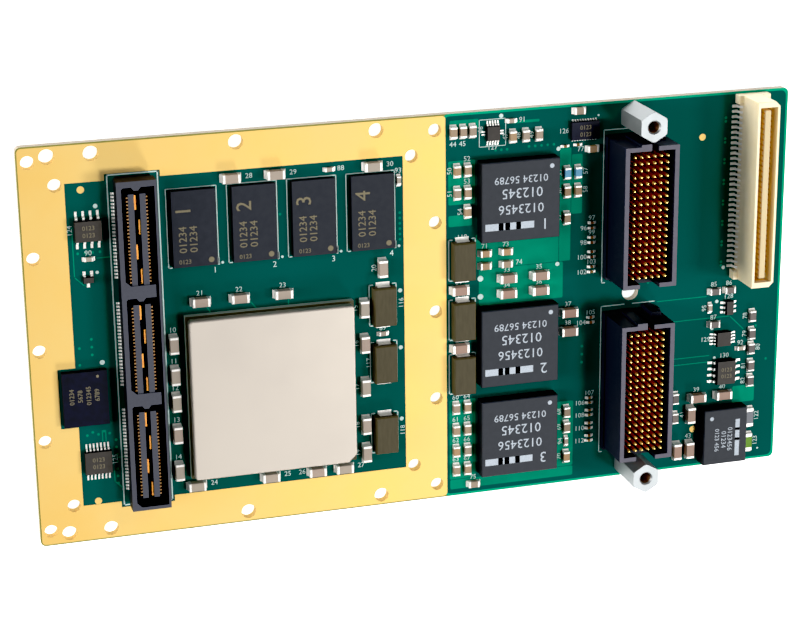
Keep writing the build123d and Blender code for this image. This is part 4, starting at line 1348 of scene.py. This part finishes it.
laser_marks = []
for index in (1, 2, 3, 4):
    x, y, size = middle_and_size(f"memory_chip_{index}")
    rows = ((index, -1.6, 3.3, 2.8, 90), ("01234", -1.9, -1.9, 1.4, 90), ("01234", 0.0, -1.9, 1.4, 90))
    for value, dx, dy, height, turn in rows + (("0123", -1.7, -6.0, 0.8, 0),):
        laser_marks.append(plain_number(value, x + dx, y + dy, height, turn, size.z))
    laser_marks.append(ink_dot(x + 3.0, y - 5.9, 1.0, size.z))
x, y, size = middle_and_size("flash_chip")
laser_marks.append(ink_dot(x + 2.3, y + 4.1, 0.5, size.z))
for column, value in enumerate(("01234", "5678", "012345", "6789")):
    laser_marks.append(plain_number(value, x - 2.4 + 1.5 * column, y + 0.6, 0.85, 90, size.z))
for node in ("fourteen_lead_chip", "eight_lead_chip_rear", "eight_lead_chip_front", "twenty_lead_chip"):
    x, y, size = middle_and_size(node)
    face = (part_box(node)[1].z - FACE) / MM
    for dy in (-0.7, 0.6):
        laser_marks.append(plain_number("0123", x, y + dy, 0.8, 0, face))
make_piece("laser_marks", laser_marks, laser_tan)


# Studio: a pale floor under the card and six soft boxes. Most of the light comes from the
# right and throws short dark shadows to the left. Two boxes there light the walls that face
# that way.
FLOOR_SIDE = 6.0
FLOOR_WHITE = "#fafafa"
FLOOR_FIBRE = "#f5f5f5"
ROOM_LIGHT = 0.08
# Each soft box: its place, its width in metres and its power in watts.
SOFT_BOXES = {
    "key_light": ((0.42, -0.28, 0.92), 0.15, 4.6),
    "rear_light": ((0.42, 0.64, 0.71), 0.2, 1.6),
    "right_light": ((0.76, -0.16, 0.69), 0.2, 4.8),
    "front_light": ((0.32, -0.85, 0.53), 0.2, 3.9),
    "left_light": ((-0.97, 0.12, 0.23), 0.35, 6.8),
    "high_left_light": ((-0.76, 0.05, 0.65), 0.3, 2.2),
}


def pale_studio_paper():
    """White seamless paper, lit from behind as well, so that it stays clear of shadow."""
    finish, add, place = new_finish("pale_studio_paper")
    _, colour = two_shades(add, place, FLOOR_WHITE, FLOOR_FIBRE, 2 * MM)
    return finished(finish, {
        "Base Color": colour, "Roughness": 0.9, "Specular IOR Level": 0.1,
        "Emission Color": "#ffffff", "Emission Strength": 0.95,
    })


floor_mesh = bpy.data.meshes.new("floor")
floor_corners = [(x, y, 0) for x, y in rectangle(0, 0, FLOOR_SIDE, FLOOR_SIDE)]
floor_mesh.from_pydata(floor_corners, [], [(0, 1, 2, 3)])
floor_mesh.materials.append(pale_studio_paper())
floor = bpy.data.objects.new("floor", floor_mesh)
bpy.context.scene.collection.objects.link(floor)

world = bpy.data.worlds.new("studio")
bpy.context.scene.world = world
world.use_nodes = True
background = world.node_tree.nodes["Background"]
background.inputs["Color"].default_value = linear("#f4f8ff")
background.inputs["Strength"].default_value = ROOM_LIGHT
for name, (place, width, power) in SOFT_BOXES.items():
    lamp = bpy.data.lights.new(name, "AREA")
    lamp.size, lamp.energy = width, power
    holder = bpy.data.objects.new(name, lamp)
    holder.location = place
    holder.rotation_euler = (-Vector(place)).to_track_quat("-Z", "Y").to_euler()
    bpy.context.scene.collection.objects.link(holder)

# The picture has deep blacks: a curve takes the darkest tones down and leaves the rest.
BLACK_CURVE = ((0.012, 0.001), (0.03, 0.014), (0.052, 0.049), (0.08, 0.08))
tones = bpy.context.scene.view_settings
tones.view_transform = "Standard"
tones.use_curve_mapping = True
tone_curve = tones.curve_mapping.curves[3]
for tone, darker in BLACK_CURVE:
    tone_curve.points.new(tone, darker)
for point in tone_curve.points:
    point.handle_type = "VECTOR"
tones.curve_mapping.update()

# The camera looks down from high on the left of the card, rolled a little, with a long lens.
LENS = 101.07
CAMERA_PLACE = (-0.11084, 0.12959, 0.37858)
CAMERA_TURN = (-18.1713, -16.1075, -0.7010)
camera_data = bpy.data.cameras.new("camera")
camera_data.lens, camera_data.sensor_width = LENS, 36.0
camera_data.clip_start, camera_data.clip_end = 0.01, 20.0
camera = bpy.data.objects.new("camera", camera_data)
camera.location = CAMERA_PLACE
camera.rotation_euler = [math.radians(angle) for angle in CAMERA_TURN]
bpy.context.scene.collection.objects.link(camera)
bpy.context.scene.camera = camera

bpy.context.view_layer.update()
